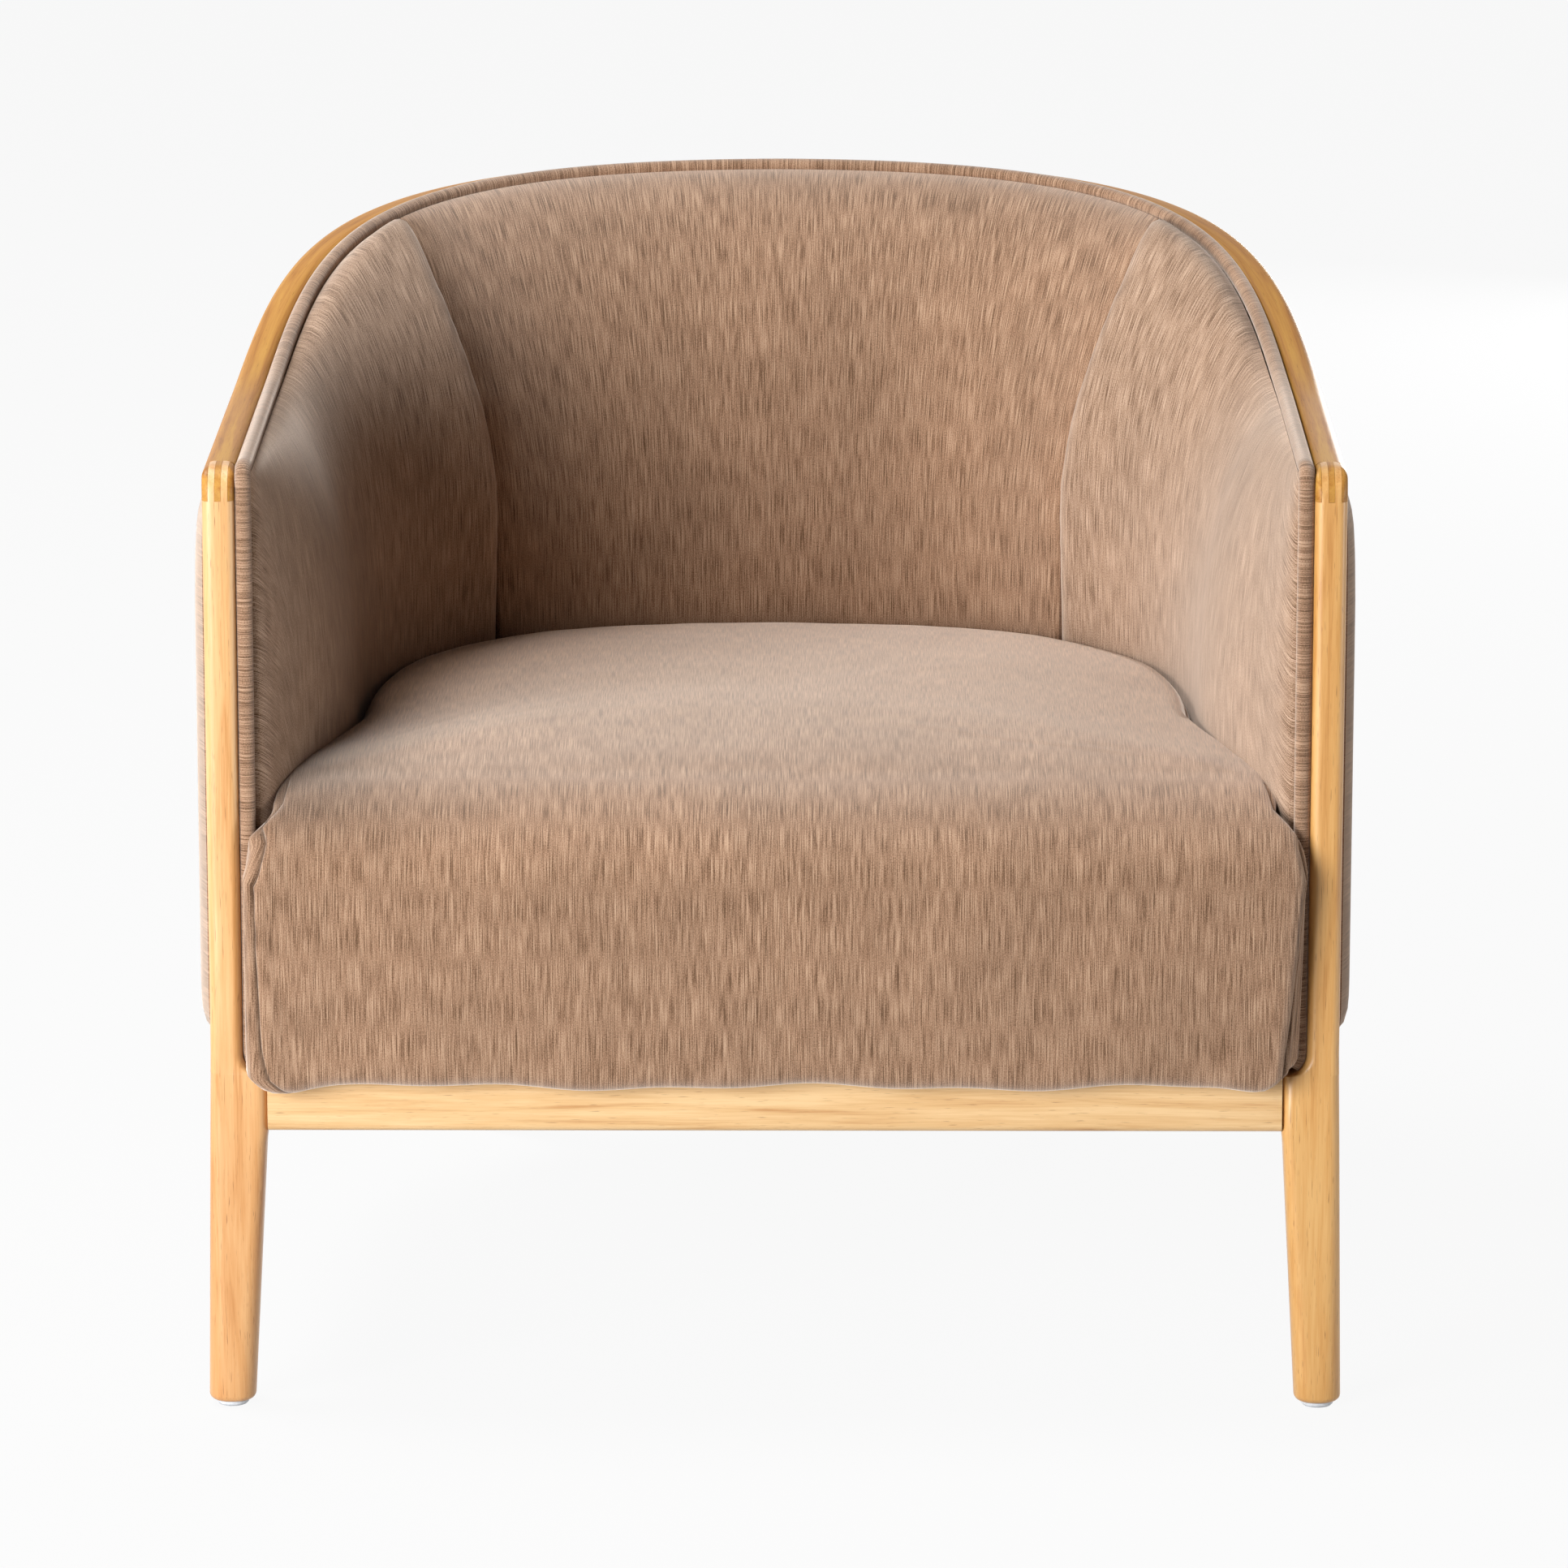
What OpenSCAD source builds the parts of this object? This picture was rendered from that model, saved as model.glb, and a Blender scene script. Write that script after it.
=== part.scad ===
// Occasional tub chair: a show-wood frame whose arm rail sweeps up into the crest,
// an upholstered shell hung inside it and a loose boxed seat cushion.
// Millimetres. X is across the seat, the front faces -Y, +Z is up, the glides stand on Z = 0.

/* [Overall] */
// Width over the outer faces of the two front posts
post_span = 698; // [640:2:760]
// Depth from the front face of the posts to the back of the crest rail
frame_depth = 665; // [620:5:710]
// Height of the top of the arm rails above the floor
arm_height = 597; // [570:1:640]
// How much higher the crest of the back stands than the arms
back_rise = 86; // [40:1:120]
// Length of the straight part of each arm before it turns into the back
arm_straight = 215; // [180:5:240]
// Squareness of the plan curve: 2 is an ellipse, more is squarer
plan_power = 2.5; // [2.2:0.1:2.8]
// Angle along the turn at which the rail has climbed half its rise
climb_angle = 23; // [18:1:40]
// Steepness of that climb
climb_power = 2.3; // [1.8:0.1:3]

/* [Posts and legs] */
// Width of the posts and of the arm and crest rails, seen from the front
rail_w = 20; // [18:0.5:26]
// Height of the arm and crest rails
rail_h = 20; // [18:0.5:26]
// Front to back depth of the posts and their leg heads
post_depth = 28; // [27:0.5:34]
// Radius of the rounded top front corner of each post
corner_r = 18; // [8:0.5:19]
// Rounding along the edges of the show wood
edge_r = 6; // [3:0.5:7]
// Number of fingers in the joint at the top of each post
fingers = 5; // [3:2:7]
// Width of the leg head, where the front rail meets it
head_w = 35; // [32:0.5:42]
// Radius of the fillet between the post and the leg head
head_fillet = 13; // [8:0.5:14]
// Width of the foot
foot_w = 29; // [26:0.5:32]
// How far the foot stands outside the post
foot_flare = 4.5; // [0:0.5:12]
// Distance the rear foot is raked back from its head
rear_rake = 50; // [20:1:60]
// Distance the rear foot is splayed sideways from its head
rear_splay = 14; // [0:1:24]
// Side of the square head of the rear leg
rear_head = 34; // [30:1:40]
// Angle along the turn at which the rear legs stand
rear_angle = 62; // [56:1:68]
// Diameter of the plastic glides
glide_d = 20; // [16:1:24]
// Height of a glide below the foot
glide_h = 3; // [2:0.5:6]
// Diameter of the nail of a glide
glide_pin_d = 2.5; // [2:0.5:4]
// Length of the nail of a glide
glide_pin_len = 18; // [10:1:30]

/* [Seat frame] */
// Height of the underside of the seat rails above the floor
rail_low = 179; // [160:1:210]
// Height of the front rail and the cross rail
seat_rail_h = 37; // [30:1:45]
// Height of the side and back rails
side_rail_h = 55; // [46:1:60]
// Thickness of the front rail
front_rail_t = 25; // [20:1:30]
// Thickness of the side, back and cross rails
side_rail_t = 22; // [18:1:26]
// How far the side and back rails sit inside the line of the posts
rail_inset = 4; // [3:0.5:8]
// Distance from the front of the cross rail to the outside of the back
cross_rail_back = 160; // [150:1:185]
// Length of a corner block along each rail
block_len = 60; // [45:1:70]
// Space above and below a corner block
block_gap = 3; // [1:0.5:6]
// Diameter of the dowels
dowel_d = 8; // [6:1:10]
// Length of the dowels
dowel_len = 32; // [24:1:36]
// Diameter of the leg bolts
bolt_d = 6; // [5:1:8]
// Diameter of the wood screws
screw_d = 4; // [3:0.5:5]
// Radial play round bolts, screws, dowels and nails
bore_play = 0.1; // [0.05:0.05:0.3]

/* [Shell] */
// Thickness of the bent plywood board behind the padding
board_t = 5; // [3:0.5:6]
// Thickness of the upright studs inside the shell
stud_t = 18; // [12:1:18]
// Width of the studs
stud_w = 36; // [24:1:48]
// How far the padded outer cover bulges past the posts
cover_bulge = 9.5; // [4:0.5:12]
// Thickness of the fabric with its lining
fabric_t = 3; // [2:0.5:4]
// Diameter of the welt that runs inside the rail
welt_d = 10; // [7:0.5:12]
// Clearance between soft pieces and what they lie against
soft_gap = 0.3; // [0.2:0.1:1]

/* [Inside padding] */
// Thickness of the arms at the rear end of their straight part, at seat level
arm_pad_t = 81; // [66:1:92]
// Thickness of the back at seat level
back_pad_t = 163; // [140:1:180]
// How far the padding stands inside the welt at the front of the arms
front_pad_in = 1; // [1:0.5:8]
// Squareness of the plan curve of the inside padding
inside_power = 2.5; // [2.2:0.1:2.8]
// Height at which the padding starts to lean outward
lean_start = 392; // [360:1:410]
// Fullness of the roll at the top of the padding
roll_power = 0.62; // [0.5:0.02:0.9]
// How deep the seams between the arms and the back draw in
seam_dip = 4; // [0:0.5:8]

/* [Seat cushion] */
// Height of the crown of the cushion above the floor
seat_height = 412; // [390:1:450]
// Drop of the top of the cushion from its crown to its edge
crown_drop = 14; // [6:1:24]
// How far the front of the cushion stands in front of the posts
nose = 22; // [10:1:30]
// Radius of the rounded front top edge
nose_r = 58; // [30:1:70]
// Radius of the top edge at the sides and the back
side_r = 17; // [12:1:36]
// Radius of the bottom edge
under_r = 14; // [8:1:20]
// Clearance between the cushion and the padding round it
cushion_gap = 2; // [1:0.5:5]
// Clearance between the back of the cushion and the inside back
back_gap = 4; // [3:0.5:8]
// Length of the zip across the back of the cushion
zip_len = 300; // [160:10:340]
// Width of the zip tape
zip_w = 14; // [8:1:24]
// Thickness of the zip
zip_t = 1.4; // [1:0.1:2]

/* [Seat platform] */
// Side of the square battens inside the side rails
batten_w = 20; // [14:1:28]
// Width of an elastic webbing strap
strap_w = 60; // [40:1:70]
// Thickness of a strap
strap_t = 1.5; // [1:0.1:2.5]
// Straps that run from front to back
straps_long = 5; // [3:1:6]
// Straps that run from side to side
straps_cross = 4; // [3:1:5]
// Thickness of the platform cloth and of the dust cover
cloth_t = 0.8; // [0.6:0.1:1.5]

/* [Hidden] */

honey = [0.86, 0.67, 0.42];
pale_wood = [0.88, 0.76, 0.56];
ply = [0.80, 0.64, 0.44];
taupe = [0.63, 0.52, 0.43];
taupe_light = [0.70, 0.60, 0.52];
foam_yellow = [0.93, 0.88, 0.66];
black_cloth = [0.12, 0.12, 0.12];
steel = [0.72, 0.72, 0.74];
nylon = [0.78, 0.79, 0.80];

half_w = post_span / 2;
// Middle of the whole chair from front to back, which is the origin
mid_y = (frame_depth + cover_bulge - nose) / 2;
head_top = rail_low + seat_rail_h;
shell_low = rail_low + side_rail_h;
finger_w = rail_w / fingers;
strap_gap = 0.2;
straps_top = head_top + 2 * strap_t + 2 * strap_gap;
deck_top = straps_top + cloth_t;
soft_low = deck_top + soft_gap;
post_inner = half_w - rail_w;
head_inner = half_w - head_w;
welt_r = welt_d / 2;
welt_y = 2 + welt_r;

// Plan: the chair is followed from the right post (u = 0) round the back (u = 2) to the left (u = 4)

facet_play = 0.1;
straight_steps = 5;
turn_steps = 14;
nudge = 0.002;
crowding = 0.12;

function folded(u) = u <= 2 ? u : 4 - u;
function mirrored(p) = [-p[0], p[1]];
function turn(u) = 90 * ((u - 1) - crowding * sin(360 * (u - 1)));
function bow(w, y0, y1, power, a) = [w * pow(cos(a), 2 / power), y0 + (y1 - y0) * pow(sin(a), 2 / power)];
function half_plan(u) = u <= 1
    ? [half_w, arm_straight * u]
    : bow(half_w, arm_straight, frame_depth, plan_power, turn(u));
function plan(u) = u <= 2 ? half_plan(u) : mirrored(half_plan(4 - u));
function inward(u) = let (d = plan(u + nudge) - plan(u - nudge)) [-d[1], d[0]] / norm(d);
function at_y(y) = y / arm_straight;
function climbed(a) = let (x = pow(a / climb_angle, climb_power), full = pow(90 / climb_angle, climb_power))
    x / (1 + x) * (1 + full) / full;
function rim(u) = let (f = folded(u)) arm_height + (f <= 1 ? 0 : back_rise * climbed(turn(f)));

half_stations = concat([for (i = [1:straight_steps]) i / straight_steps], [for (i = [1:turn_steps]) 1 + i / turn_steps]);
stations = concat(half_stations, [for (i = [len(half_stations) - 2:-1:0]) 4 - half_stations[i]]);
function between(a, b) = concat([a], [for (u = stations) if (u > a + 0.01 && u < b - 0.01) u], [b]);

// Inner face of the padding at seat level
seat_half = half_w - arm_pad_t;
inside_back_y = frame_depth - back_pad_t;
arm_taper = arm_pad_t - rail_w - welt_d - front_pad_in;
function inside_half(u) = u <= 1
    ? [seat_half + arm_taper * pow(max(0, 1 - u), 1.6), arm_straight * u]
    : bow(seat_half, arm_straight, inside_back_y, inside_power, turn(u));
function inside(u) = u <= 2 ? inside_half(u) : mirrored(inside_half(4 - u));

// Seam between the inside arm and the inside back, and the joint between arm rail and crest rail
seam_u = 1.5;
joint_u = 1 + 9 / turn_steps;
post_back_u = at_y(post_depth);

// Turn an angle along the bend into its place u, by halving
function seek(a, lo, hi, n) = n == 0 ? (lo + hi) / 2
    : let (m = (lo + hi) / 2) turn(m) < a ? seek(a, m, hi, n - 1) : seek(a, lo, m, n - 1);
rear_u = seek(rear_angle, 1, 2, 20);

// Solids swept through rings of points

module skin(rings) {
    m = len(rings[0]);
    n = len(rings);
    polyhedron(
        points = [for (r = rings) each r],
        faces = concat(
            [[for (j = [0:m - 1]) j]],
            [[for (j = [m - 1:-1:0]) (n - 1) * m + j]],
            [for (i = [0:n - 2], j = [0:m - 1])
                let (a = i * m + j, b = i * m + (j + 1) % m)
                each [[a, a + m, b + m], [a, b + m, b]]]
        ),
        convexity = 6
    );
}

// The same for a thin bent section, whose second half runs back beside its first
module hollow_skin(rings) {
    m = len(rings[0]);
    n = len(rings);
    e = (n - 1) * m;
    polyhedron(
        points = [for (r = rings) each r],
        faces = concat(
            [for (j = [0:m / 2 - 2]) each [[j, j + 1, m - 1 - j], [j + 1, m - 2 - j, m - 1 - j]]],
            [for (j = [0:m / 2 - 2]) each [[e + j, e + m - 1 - j, e + j + 1], [e + j + 1, e + m - 1 - j, e + m - 2 - j]]],
            [for (i = [0:n - 2], j = [0:m - 1])
                let (a = i * m + j, b = i * m + (j + 1) % m)
                each [[a, a + m, b + m], [a, b + m, b]]]
        ),
        convexity = 6
    );
}

// A section point is [distance inward, height], laid square to the plan curve
function laid(u, section) = let (p = plan(u), n = inward(u))
    [for (q = section) [p[0] + n[0] * q[0], p[1] + n[1] * q[0], q[1]]];

function box_section(in0, in1, z0, z1) = [[in0, z0], [in1, z0], [in1, z1], [in0, z1]];

function rounded_section(in0, in1, z0, z1, r) = [
    for (c = [[in0 + r, z0 + r, 180], [in1 - r, z0 + r, 270], [in1 - r, z1 - r, 0], [in0 + r, z1 - r, 90]])
        for (a = [0:30:90]) [c[0] + r * cos(c[2] + a), c[1] + r * sin(c[2] + a)]
];

module board(us, in0, in1, z0) {
    skin([for (u = us) laid(u, box_section(in0, in1, z0, rim(u) - rail_h - facet_play))]);
}

module band(us, in0, in1, z0, z1) {
    skin([for (u = us) laid(u, box_section(in0, in1, z0, z1))]);
}

module at_centre() {
    translate([0, -mid_y, 0]) children();
}

// Put a piece made for the right-hand side on the side asked for
module on_side(side) {
    at_centre() scale([side, 1, 1]) children();
}

// A level rounded rectangle, given by its limits in X and Y
function slab(x0, x1, y0, y1, z, r) = [
    for (c = [[x1 - r, y1 - r, 0], [x0 + r, y1 - r, 90], [x0 + r, y0 + r, 180], [x1 - r, y0 + r, 270]])
        for (a = [0:22.5:90]) [c[0] + r * cos(c[2] + a), c[1] + r * sin(c[2] + a), z]
];

// Front legs: foot, head, fillet, post and rounded corner in one piece of timber

foot_z = glide_h;
foot_round = 4;
foot_r = 12;
foot_back = 1;
foot_depth = post_depth - 2 * foot_back;
head_r = 7;
head_start = rail_low - 8;
fillet_top = head_top + head_fillet;

function flare(z) = foot_flare * max(0, (fillet_top - z) / (fillet_top - foot_z));
function leg_x1(z) = half_w + flare(z);

function foot_slab(z, t, shrink) = let (
        w = foot_w + (head_w - foot_w) * t,
        d = foot_depth + (post_depth - foot_depth) * t,
        y0 = (1 - t) * foot_back,
        x1 = leg_x1(z),
        r = min(foot_r + (head_r - foot_r) * t - shrink / 2, d / 2 - shrink - 0.2))
    slab(x1 - w + shrink, x1 - shrink, y0 + shrink, y0 + d - shrink, z, r);

function taper(z) = (z - foot_z) / (head_start - foot_z);

function fillet_slab(a) = slab(
    post_inner - head_fillet + head_fillet * sin(a),
    leg_x1(head_top + head_fillet * (1 - cos(a))),
    0, post_depth,
    head_top + head_fillet * (1 - cos(a)), edge_r);

function top_slab(z) = let (
        down = arm_height - z,
        front = down < corner_r ? corner_r - sqrt(corner_r * corner_r - pow(corner_r - down, 2)) : 0,
        side = down < edge_r ? edge_r - sqrt(edge_r * edge_r - pow(edge_r - down, 2)) : 0,
        r = edge_r * (1 - 0.75 * side / edge_r) * (down < corner_r ? 0.35 + 0.65 * down / corner_r : 1))
    slab(post_inner + side, half_w - side, front, post_depth, z, r);

front_leg_rings = concat(
    [for (s = [[0, 3.4], [1, 1.8], [foot_round, 0]]) foot_slab(foot_z + s[0], taper(foot_z + s[0]), s[1])],
    [for (z = [foot_z + 60, foot_z + 120, head_start]) foot_slab(z, taper(z), 0)],
    [slab(head_inner, leg_x1(rail_low), 0, post_depth, rail_low, head_r)],
    [slab(head_inner, leg_x1(head_top - 1), 0, post_depth, head_top - 1, head_r)],
    [for (a = [8, 25, 45, 65, 90]) fillet_slab(a)],
    [for (s = [corner_r + 12, corner_r, corner_r * 0.7, corner_r * 0.45, edge_r * 0.9, edge_r * 0.45, edge_r * 0.15, 0])
        top_slab(arm_height - s)]
);

// Every other finger belongs to the arm rail; the outer ones do
module arm_fingers(play) {
    for (i = [0:2:fingers - 1])
        translate([post_inner + i * finger_w - (i == 0 ? 1 : 0), -1, arm_height - rail_h])
            cube([finger_w + (i == 0 || i == fingers - 1 ? 1 : 0), post_depth + 1 + play, rail_h + 1]);
}

module front_leg() {
    difference() {
        skin(front_leg_rings);
        arm_fingers(1);
        front_rail_dowels(dowel_d + 2 * bore_play);
        side_rail_dowels(dowel_d + 2 * bore_play);
        front_bolt_hole();
        glide_nail_hole(front_glide_at);
    }
}

module front_leg_left() {
    color(honey) on_side(-1) front_leg();
}

module front_leg_right() {
    color(honey) on_side(1) front_leg();
}

// Arm rails and crest rail

module arm_rail() {
    union() {
        skin([for (u = between(post_back_u, joint_u))
            laid(u, rounded_section(0, rail_w, rim(u) - rail_h, rim(u), edge_r))]);
        intersection() {
            skin(front_leg_rings);
            arm_fingers(0);
        }
    }
}

module arm_rail_left() {
    color(honey) on_side(-1) difference() {
        arm_rail();
        crest_dowel_pair(dowel_d + 2 * bore_play);
    }
}

module arm_rail_right() {
    color(honey) on_side(1) difference() {
        arm_rail();
        crest_dowel_pair(dowel_d + 2 * bore_play);
    }
}

module crest_rail() {
    color(honey) at_centre() difference() {
        skin([for (u = between(joint_u, 4 - joint_u))
            laid(u, rounded_section(0, rail_w, rim(u) - rail_h, rim(u), edge_r))]);
        for (side = [-1, 1])
            scale([side, 1, 1]) crest_dowel_pair(dowel_d + 2 * bore_play);
    }
}

// One dowel through the butt joint between an arm rail and the crest rail
crest_dowel_len = 28;

module crest_dowel_pair(d) {
    p = plan(joint_u);
    n = inward(joint_u);
    run = plan(joint_u + 0.03) - plan(joint_u - 0.03);
    climb = rim(joint_u + 0.03) - rim(joint_u - 0.03);
    translate([p[0] + n[0] * rail_w / 2, p[1] + n[1] * rail_w / 2, rim(joint_u) - rail_h / 2])
        rotate([0, 0, atan2(run[1], run[0])])
            rotate([0, 90 - atan2(climb, norm(run)), 0])
                cylinder(d = d, h = crest_dowel_len, center = true, $fn = 24);
}

module crest_dowels() {
    color(pale_wood) at_centre()
        for (side = [-1, 1])
            scale([side, 1, 1]) crest_dowel_pair(dowel_d);
}

// Seat rails

side_in0 = rail_inset;
side_in1 = rail_inset + side_rail_t;
cross_rail_y = frame_depth - cross_rail_back;
front_rail_y = 1;
front_rail_back = front_rail_y + front_rail_t;
batten_y0 = post_depth + block_len - 6;
batten_u1 = 1 + 6 / turn_steps;
front_rail_r = 5;

module front_rail() {
    color(honey) at_centre() difference() {
        translate([-head_inner, 0, 0]) rotate([90, 0, 90]) linear_extrude(2 * head_inner)
            union() {
                translate([front_rail_y, rail_low + front_rail_r])
                    square([front_rail_t, seat_rail_h - front_rail_r - 2]);
                translate([front_rail_y + 2, rail_low + front_rail_r]) square([front_rail_t - 2, seat_rail_h - front_rail_r]);
                translate([front_rail_y + front_rail_r, rail_low])
                    square([front_rail_t - front_rail_r, seat_rail_h / 2]);
                translate([front_rail_y + front_rail_r, rail_low + front_rail_r]) circle(r = front_rail_r, $fn = 32);
                translate([front_rail_y + 2, head_top - 2]) circle(r = 2, $fn = 24);
            }
        for (side = [-1, 1])
            scale([side, 1, 1]) {
                front_rail_dowels(dowel_d + 2 * bore_play);
                screw_bores();
            }
    }
}

// Local frame of a rear leg: X runs along the rail, Y points inward, the origin is on the plan curve
rear_p = plan(rear_u);
rear_n = inward(rear_u);
rear_mid_in = rail_inset + rear_head / 2;

module at_rear_leg() {
    translate([rear_p[0], rear_p[1], 0])
        rotate([0, 0, atan2(rear_n[1], rear_n[0]) - 90])
            children();
}

module rear_head_block() {
    at_rear_leg()
        translate([-rear_head / 2, rail_inset - 1, rail_low - 1])
            cube([rear_head, rear_head + 1, side_rail_h + 2]);
}

module side_rail() {
    difference() {
        band(between(at_y(post_depth), rear_u), side_in0, side_in1, rail_low, shell_low);
        rear_head_block();
        side_rail_dowels(dowel_d + 2 * bore_play);
        rear_side_dowels(dowel_d + 2 * bore_play);
        batten_screw_set(screw_d + 2 * bore_play, 0);
        screw_bores();
    }
}

module side_rail_left() {
    color(pale_wood) on_side(-1) side_rail();
}

module side_rail_right() {
    color(pale_wood) on_side(1) side_rail();
}

module back_rail() {
    color(pale_wood) at_centre() difference() {
        band(between(rear_u, 4 - rear_u), side_in0, side_in1, rail_low, shell_low);
        for (side = [-1, 1]) scale([side, 1, 1]) {
            rear_head_block();
            rear_back_dowels(dowel_d + 2 * bore_play);
            screw_bores();
        }
    }
}

// The straight cross rail runs between the curved side rails and is cut to their inner faces
module seat_well(z0, z1, inset) {
    us = between(at_y(0), 4 - at_y(0));
    translate([0, 0, z0]) linear_extrude(z1 - z0)
        polygon([for (u = us) let (p = plan(u), n = inward(u)) p + n * inset]);
}

module cross_rail() {
    color(pale_wood) at_centre() intersection() {
        translate([-half_w, cross_rail_y, rail_low])
            cube([2 * half_w, side_rail_t, seat_rail_h]);
        seat_well(rail_low - 1, head_top + 1, side_in1);
    }
}

// Rear legs: a square head between the rails, raked back and splayed to the foot

module rear_leg() {
    difference() {
        skin(rear_leg_rings);
        rear_side_dowels(dowel_d + 2 * bore_play);
        rear_back_dowels(dowel_d + 2 * bore_play);
        rear_bolt(bolt_d + 2 * bore_play);
        glide_nail_hole(rear_glide_at);
    }
}

rear_turn = atan2(rear_n[1], rear_n[0]) - 90;
rear_mid = rear_p + rear_n * rear_mid_in;

function rear_slab(z, t, w, r) = [
    for (q = slab(-w / 2, w / 2, -w / 2, w / 2, z, r)) let (
        x = q[0] * cos(rear_turn) - q[1] * sin(rear_turn),
        y = q[0] * sin(rear_turn) + q[1] * cos(rear_turn))
        [rear_mid[0] + x + rear_splay * t, rear_mid[1] + y + rear_rake * t, z]
];

rear_leg_rings = concat(
    [for (s = [[0, 3.4], [1, 1.8], [foot_round, 0]])
        rear_slab(foot_z + s[0], 1 - s[0] / (rail_low - foot_z), foot_w - 2 * s[1], foot_r - s[1])],
    [for (t = [0.7, 0.4, 0.15])
        rear_slab(rail_low - t * (rail_low - foot_z), t, rear_head + (foot_w - rear_head) * t, head_r + (foot_r - head_r) * t)],
    [for (z = [rail_low, shell_low]) rear_slab(z, 0, rear_head, head_r)]
);

module rear_leg_left() {
    color(honey) on_side(-1) rear_leg();
}

module rear_leg_right() {
    color(honey) on_side(1) rear_leg();
}

// Dowels

dowel_low = rail_low + 10;
dowel_high = head_top - 9;

module front_rail_dowels(d) {
    for (z = [dowel_low, dowel_high])
        translate([head_inner - dowel_len / 2, front_rail_y + front_rail_t / 2, z])
            rotate([0, 90, 0]) cylinder(d = d, h = dowel_len, $fn = 24);
}

side_dowel_x = half_w - (side_in0 + side_in1) / 2;

module side_rail_dowels(d) {
    for (z = [rail_low + 8, head_top + 3])
        translate([side_dowel_x, post_depth - dowel_len * 0.3, z])
            rotate([-90, 0, 0]) cylinder(d = d, h = dowel_len * 0.8, $fn = 24);
}

module rear_dowels(dir, d) {
    at_rear_leg()
        for (z = [dowel_low, dowel_high])
            translate([dir * rear_head / 2, (side_in0 + side_in1) / 2 + 1.5, z])
                rotate([0, 90, 0]) cylinder(d = d, h = dowel_len * 0.7, center = true, $fn = 24);
}

module rear_side_dowels(d) {
    rear_dowels(-1, d);
}

module rear_back_dowels(d) {
    rear_dowels(1, d);
}

module rail_dowels() {
    color(pale_wood) at_centre()
        for (side = [-1, 1])
            scale([side, 1, 1]) {
                front_rail_dowels(dowel_d);
                side_rail_dowels(dowel_d);
                rear_side_dowels(dowel_d);
                rear_back_dowels(dowel_d);
            }
}

// Corner blocks, with their screws and bolts

block_low = rail_low + block_gap;
block_high = head_top - block_gap;
block_mid = (block_low + block_high) / 2;
side_inner_x = half_w - side_in1;

module front_block() {
    translate([0, 0, block_low]) linear_extrude(block_high - block_low)
        polygon([
            [head_inner, front_rail_back],
            [head_inner, post_depth],
            [side_inner_x, post_depth],
            [side_inner_x, post_depth + block_len - 10],
            [head_inner - block_len, front_rail_back],
        ]);
}

module rear_block() {
    difference() {
        at_rear_leg()
            translate([0, 0, block_low]) linear_extrude(block_high - block_low)
                polygon([
                    [-block_len * 0.8, side_in0 + 8],
                    [block_len * 0.8, side_in0 + 8],
                    [block_len * 0.45, rail_inset + rear_head + 22],
                    [-block_len * 0.45, rail_inset + rear_head + 22],
                ]);
        band(between(1, 3), -40, side_in1, rail_low - 1, shell_low + 1);
        rear_head_block();
    }
}

// The bolt of a front leg lies at 45 degrees through its corner block
bolt_len = 50;
bolt_head_d = 12;
bolt_head_h = 4;
front_bolt_x = head_inner + 13;
front_bolt_y = front_rail_back - 6;

module front_bolt(d) {
    translate([front_bolt_x, front_bolt_y, block_mid])
        rotate([0, 0, 135]) rotate([0, 90, 0])
            cylinder(d = d, h = bolt_len, $fn = 24);
}

module front_bolt_hole() {
    front_bolt(bolt_d + 2 * bore_play);
}

module front_bolt_head(d, h) {
    translate([front_bolt_x, front_bolt_y, block_mid])
        rotate([0, 0, 135]) rotate([0, 90, 0])
            translate([0, 0, bolt_len]) cylinder(d = d, h = h, $fn = 24);
}

rear_bolt_face = rail_inset + rear_head + 22;

module rear_bolt(d) {
    at_rear_leg()
        translate([0, rear_bolt_face - bolt_len + 6, block_mid])
            rotate([-90, 0, 0]) cylinder(d = d, h = bolt_len - 6, $fn = 24);
}

module rear_bolt_head() {
    at_rear_leg()
        translate([0, rear_bolt_face, block_mid])
            rotate([-90, 0, 0]) cylinder(d = bolt_head_d, h = bolt_head_h, $fn = 24);
}

// Two screws hold each corner block to its rails
block_screw_len = 30;
screw_head_d = 8;
screw_head_h = 2;
screw_sink = 30;

// A screw along +Z with its head below the origin; the sink is the bored way to the head
module screw(d, len, head_d, head_h) {
    cylinder(d = d, h = len, $fn = 16);
    translate([0, 0, -head_h]) cylinder(d = head_d, h = head_h, $fn = 24);
}

module front_block_screws(d, head_d, head_h) {
    translate([head_inner - 40, front_rail_back + 12, block_mid])
        rotate([90, 0, 0]) screw(d, block_screw_len, head_d, head_h);
    translate([side_inner_x - 12, post_depth + 40, block_mid])
        rotate([0, 90, 0]) screw(d, block_screw_len, head_d, head_h);
}

module rear_block_screws(d, head_d, head_h) {
    at_rear_leg()
        for (side = [-1, 1])
            translate([side * block_len * 0.55, side_in1 + 14, block_mid])
                rotate([90, 0, 0]) screw(d, block_screw_len - 4, head_d, head_h);
}

module screw_bores() {
    front_block_screws(screw_d + 2 * bore_play, screw_head_d + 1, screw_sink);
    rear_block_screws(screw_d + 2 * bore_play, screw_head_d + 1, screw_sink);
}

module corner_blocks() {
    color(pale_wood) at_centre()
        for (side = [-1, 1])
            scale([side, 1, 1]) {
                difference() {
                    front_block();
                    front_bolt_hole();
                    front_bolt_head(bolt_head_d + 1, 40);
                    screw_bores();
                }
                difference() {
                    rear_block();
                    rear_bolt(bolt_d + 2 * bore_play);
                    screw_bores();
                }
            }
}

module block_screws() {
    color(steel) at_centre()
        for (side = [-1, 1])
            scale([side, 1, 1]) {
                front_block_screws(screw_d, screw_head_d, screw_head_h);
                rear_block_screws(screw_d, screw_head_d, screw_head_h);
            }
}

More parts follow.
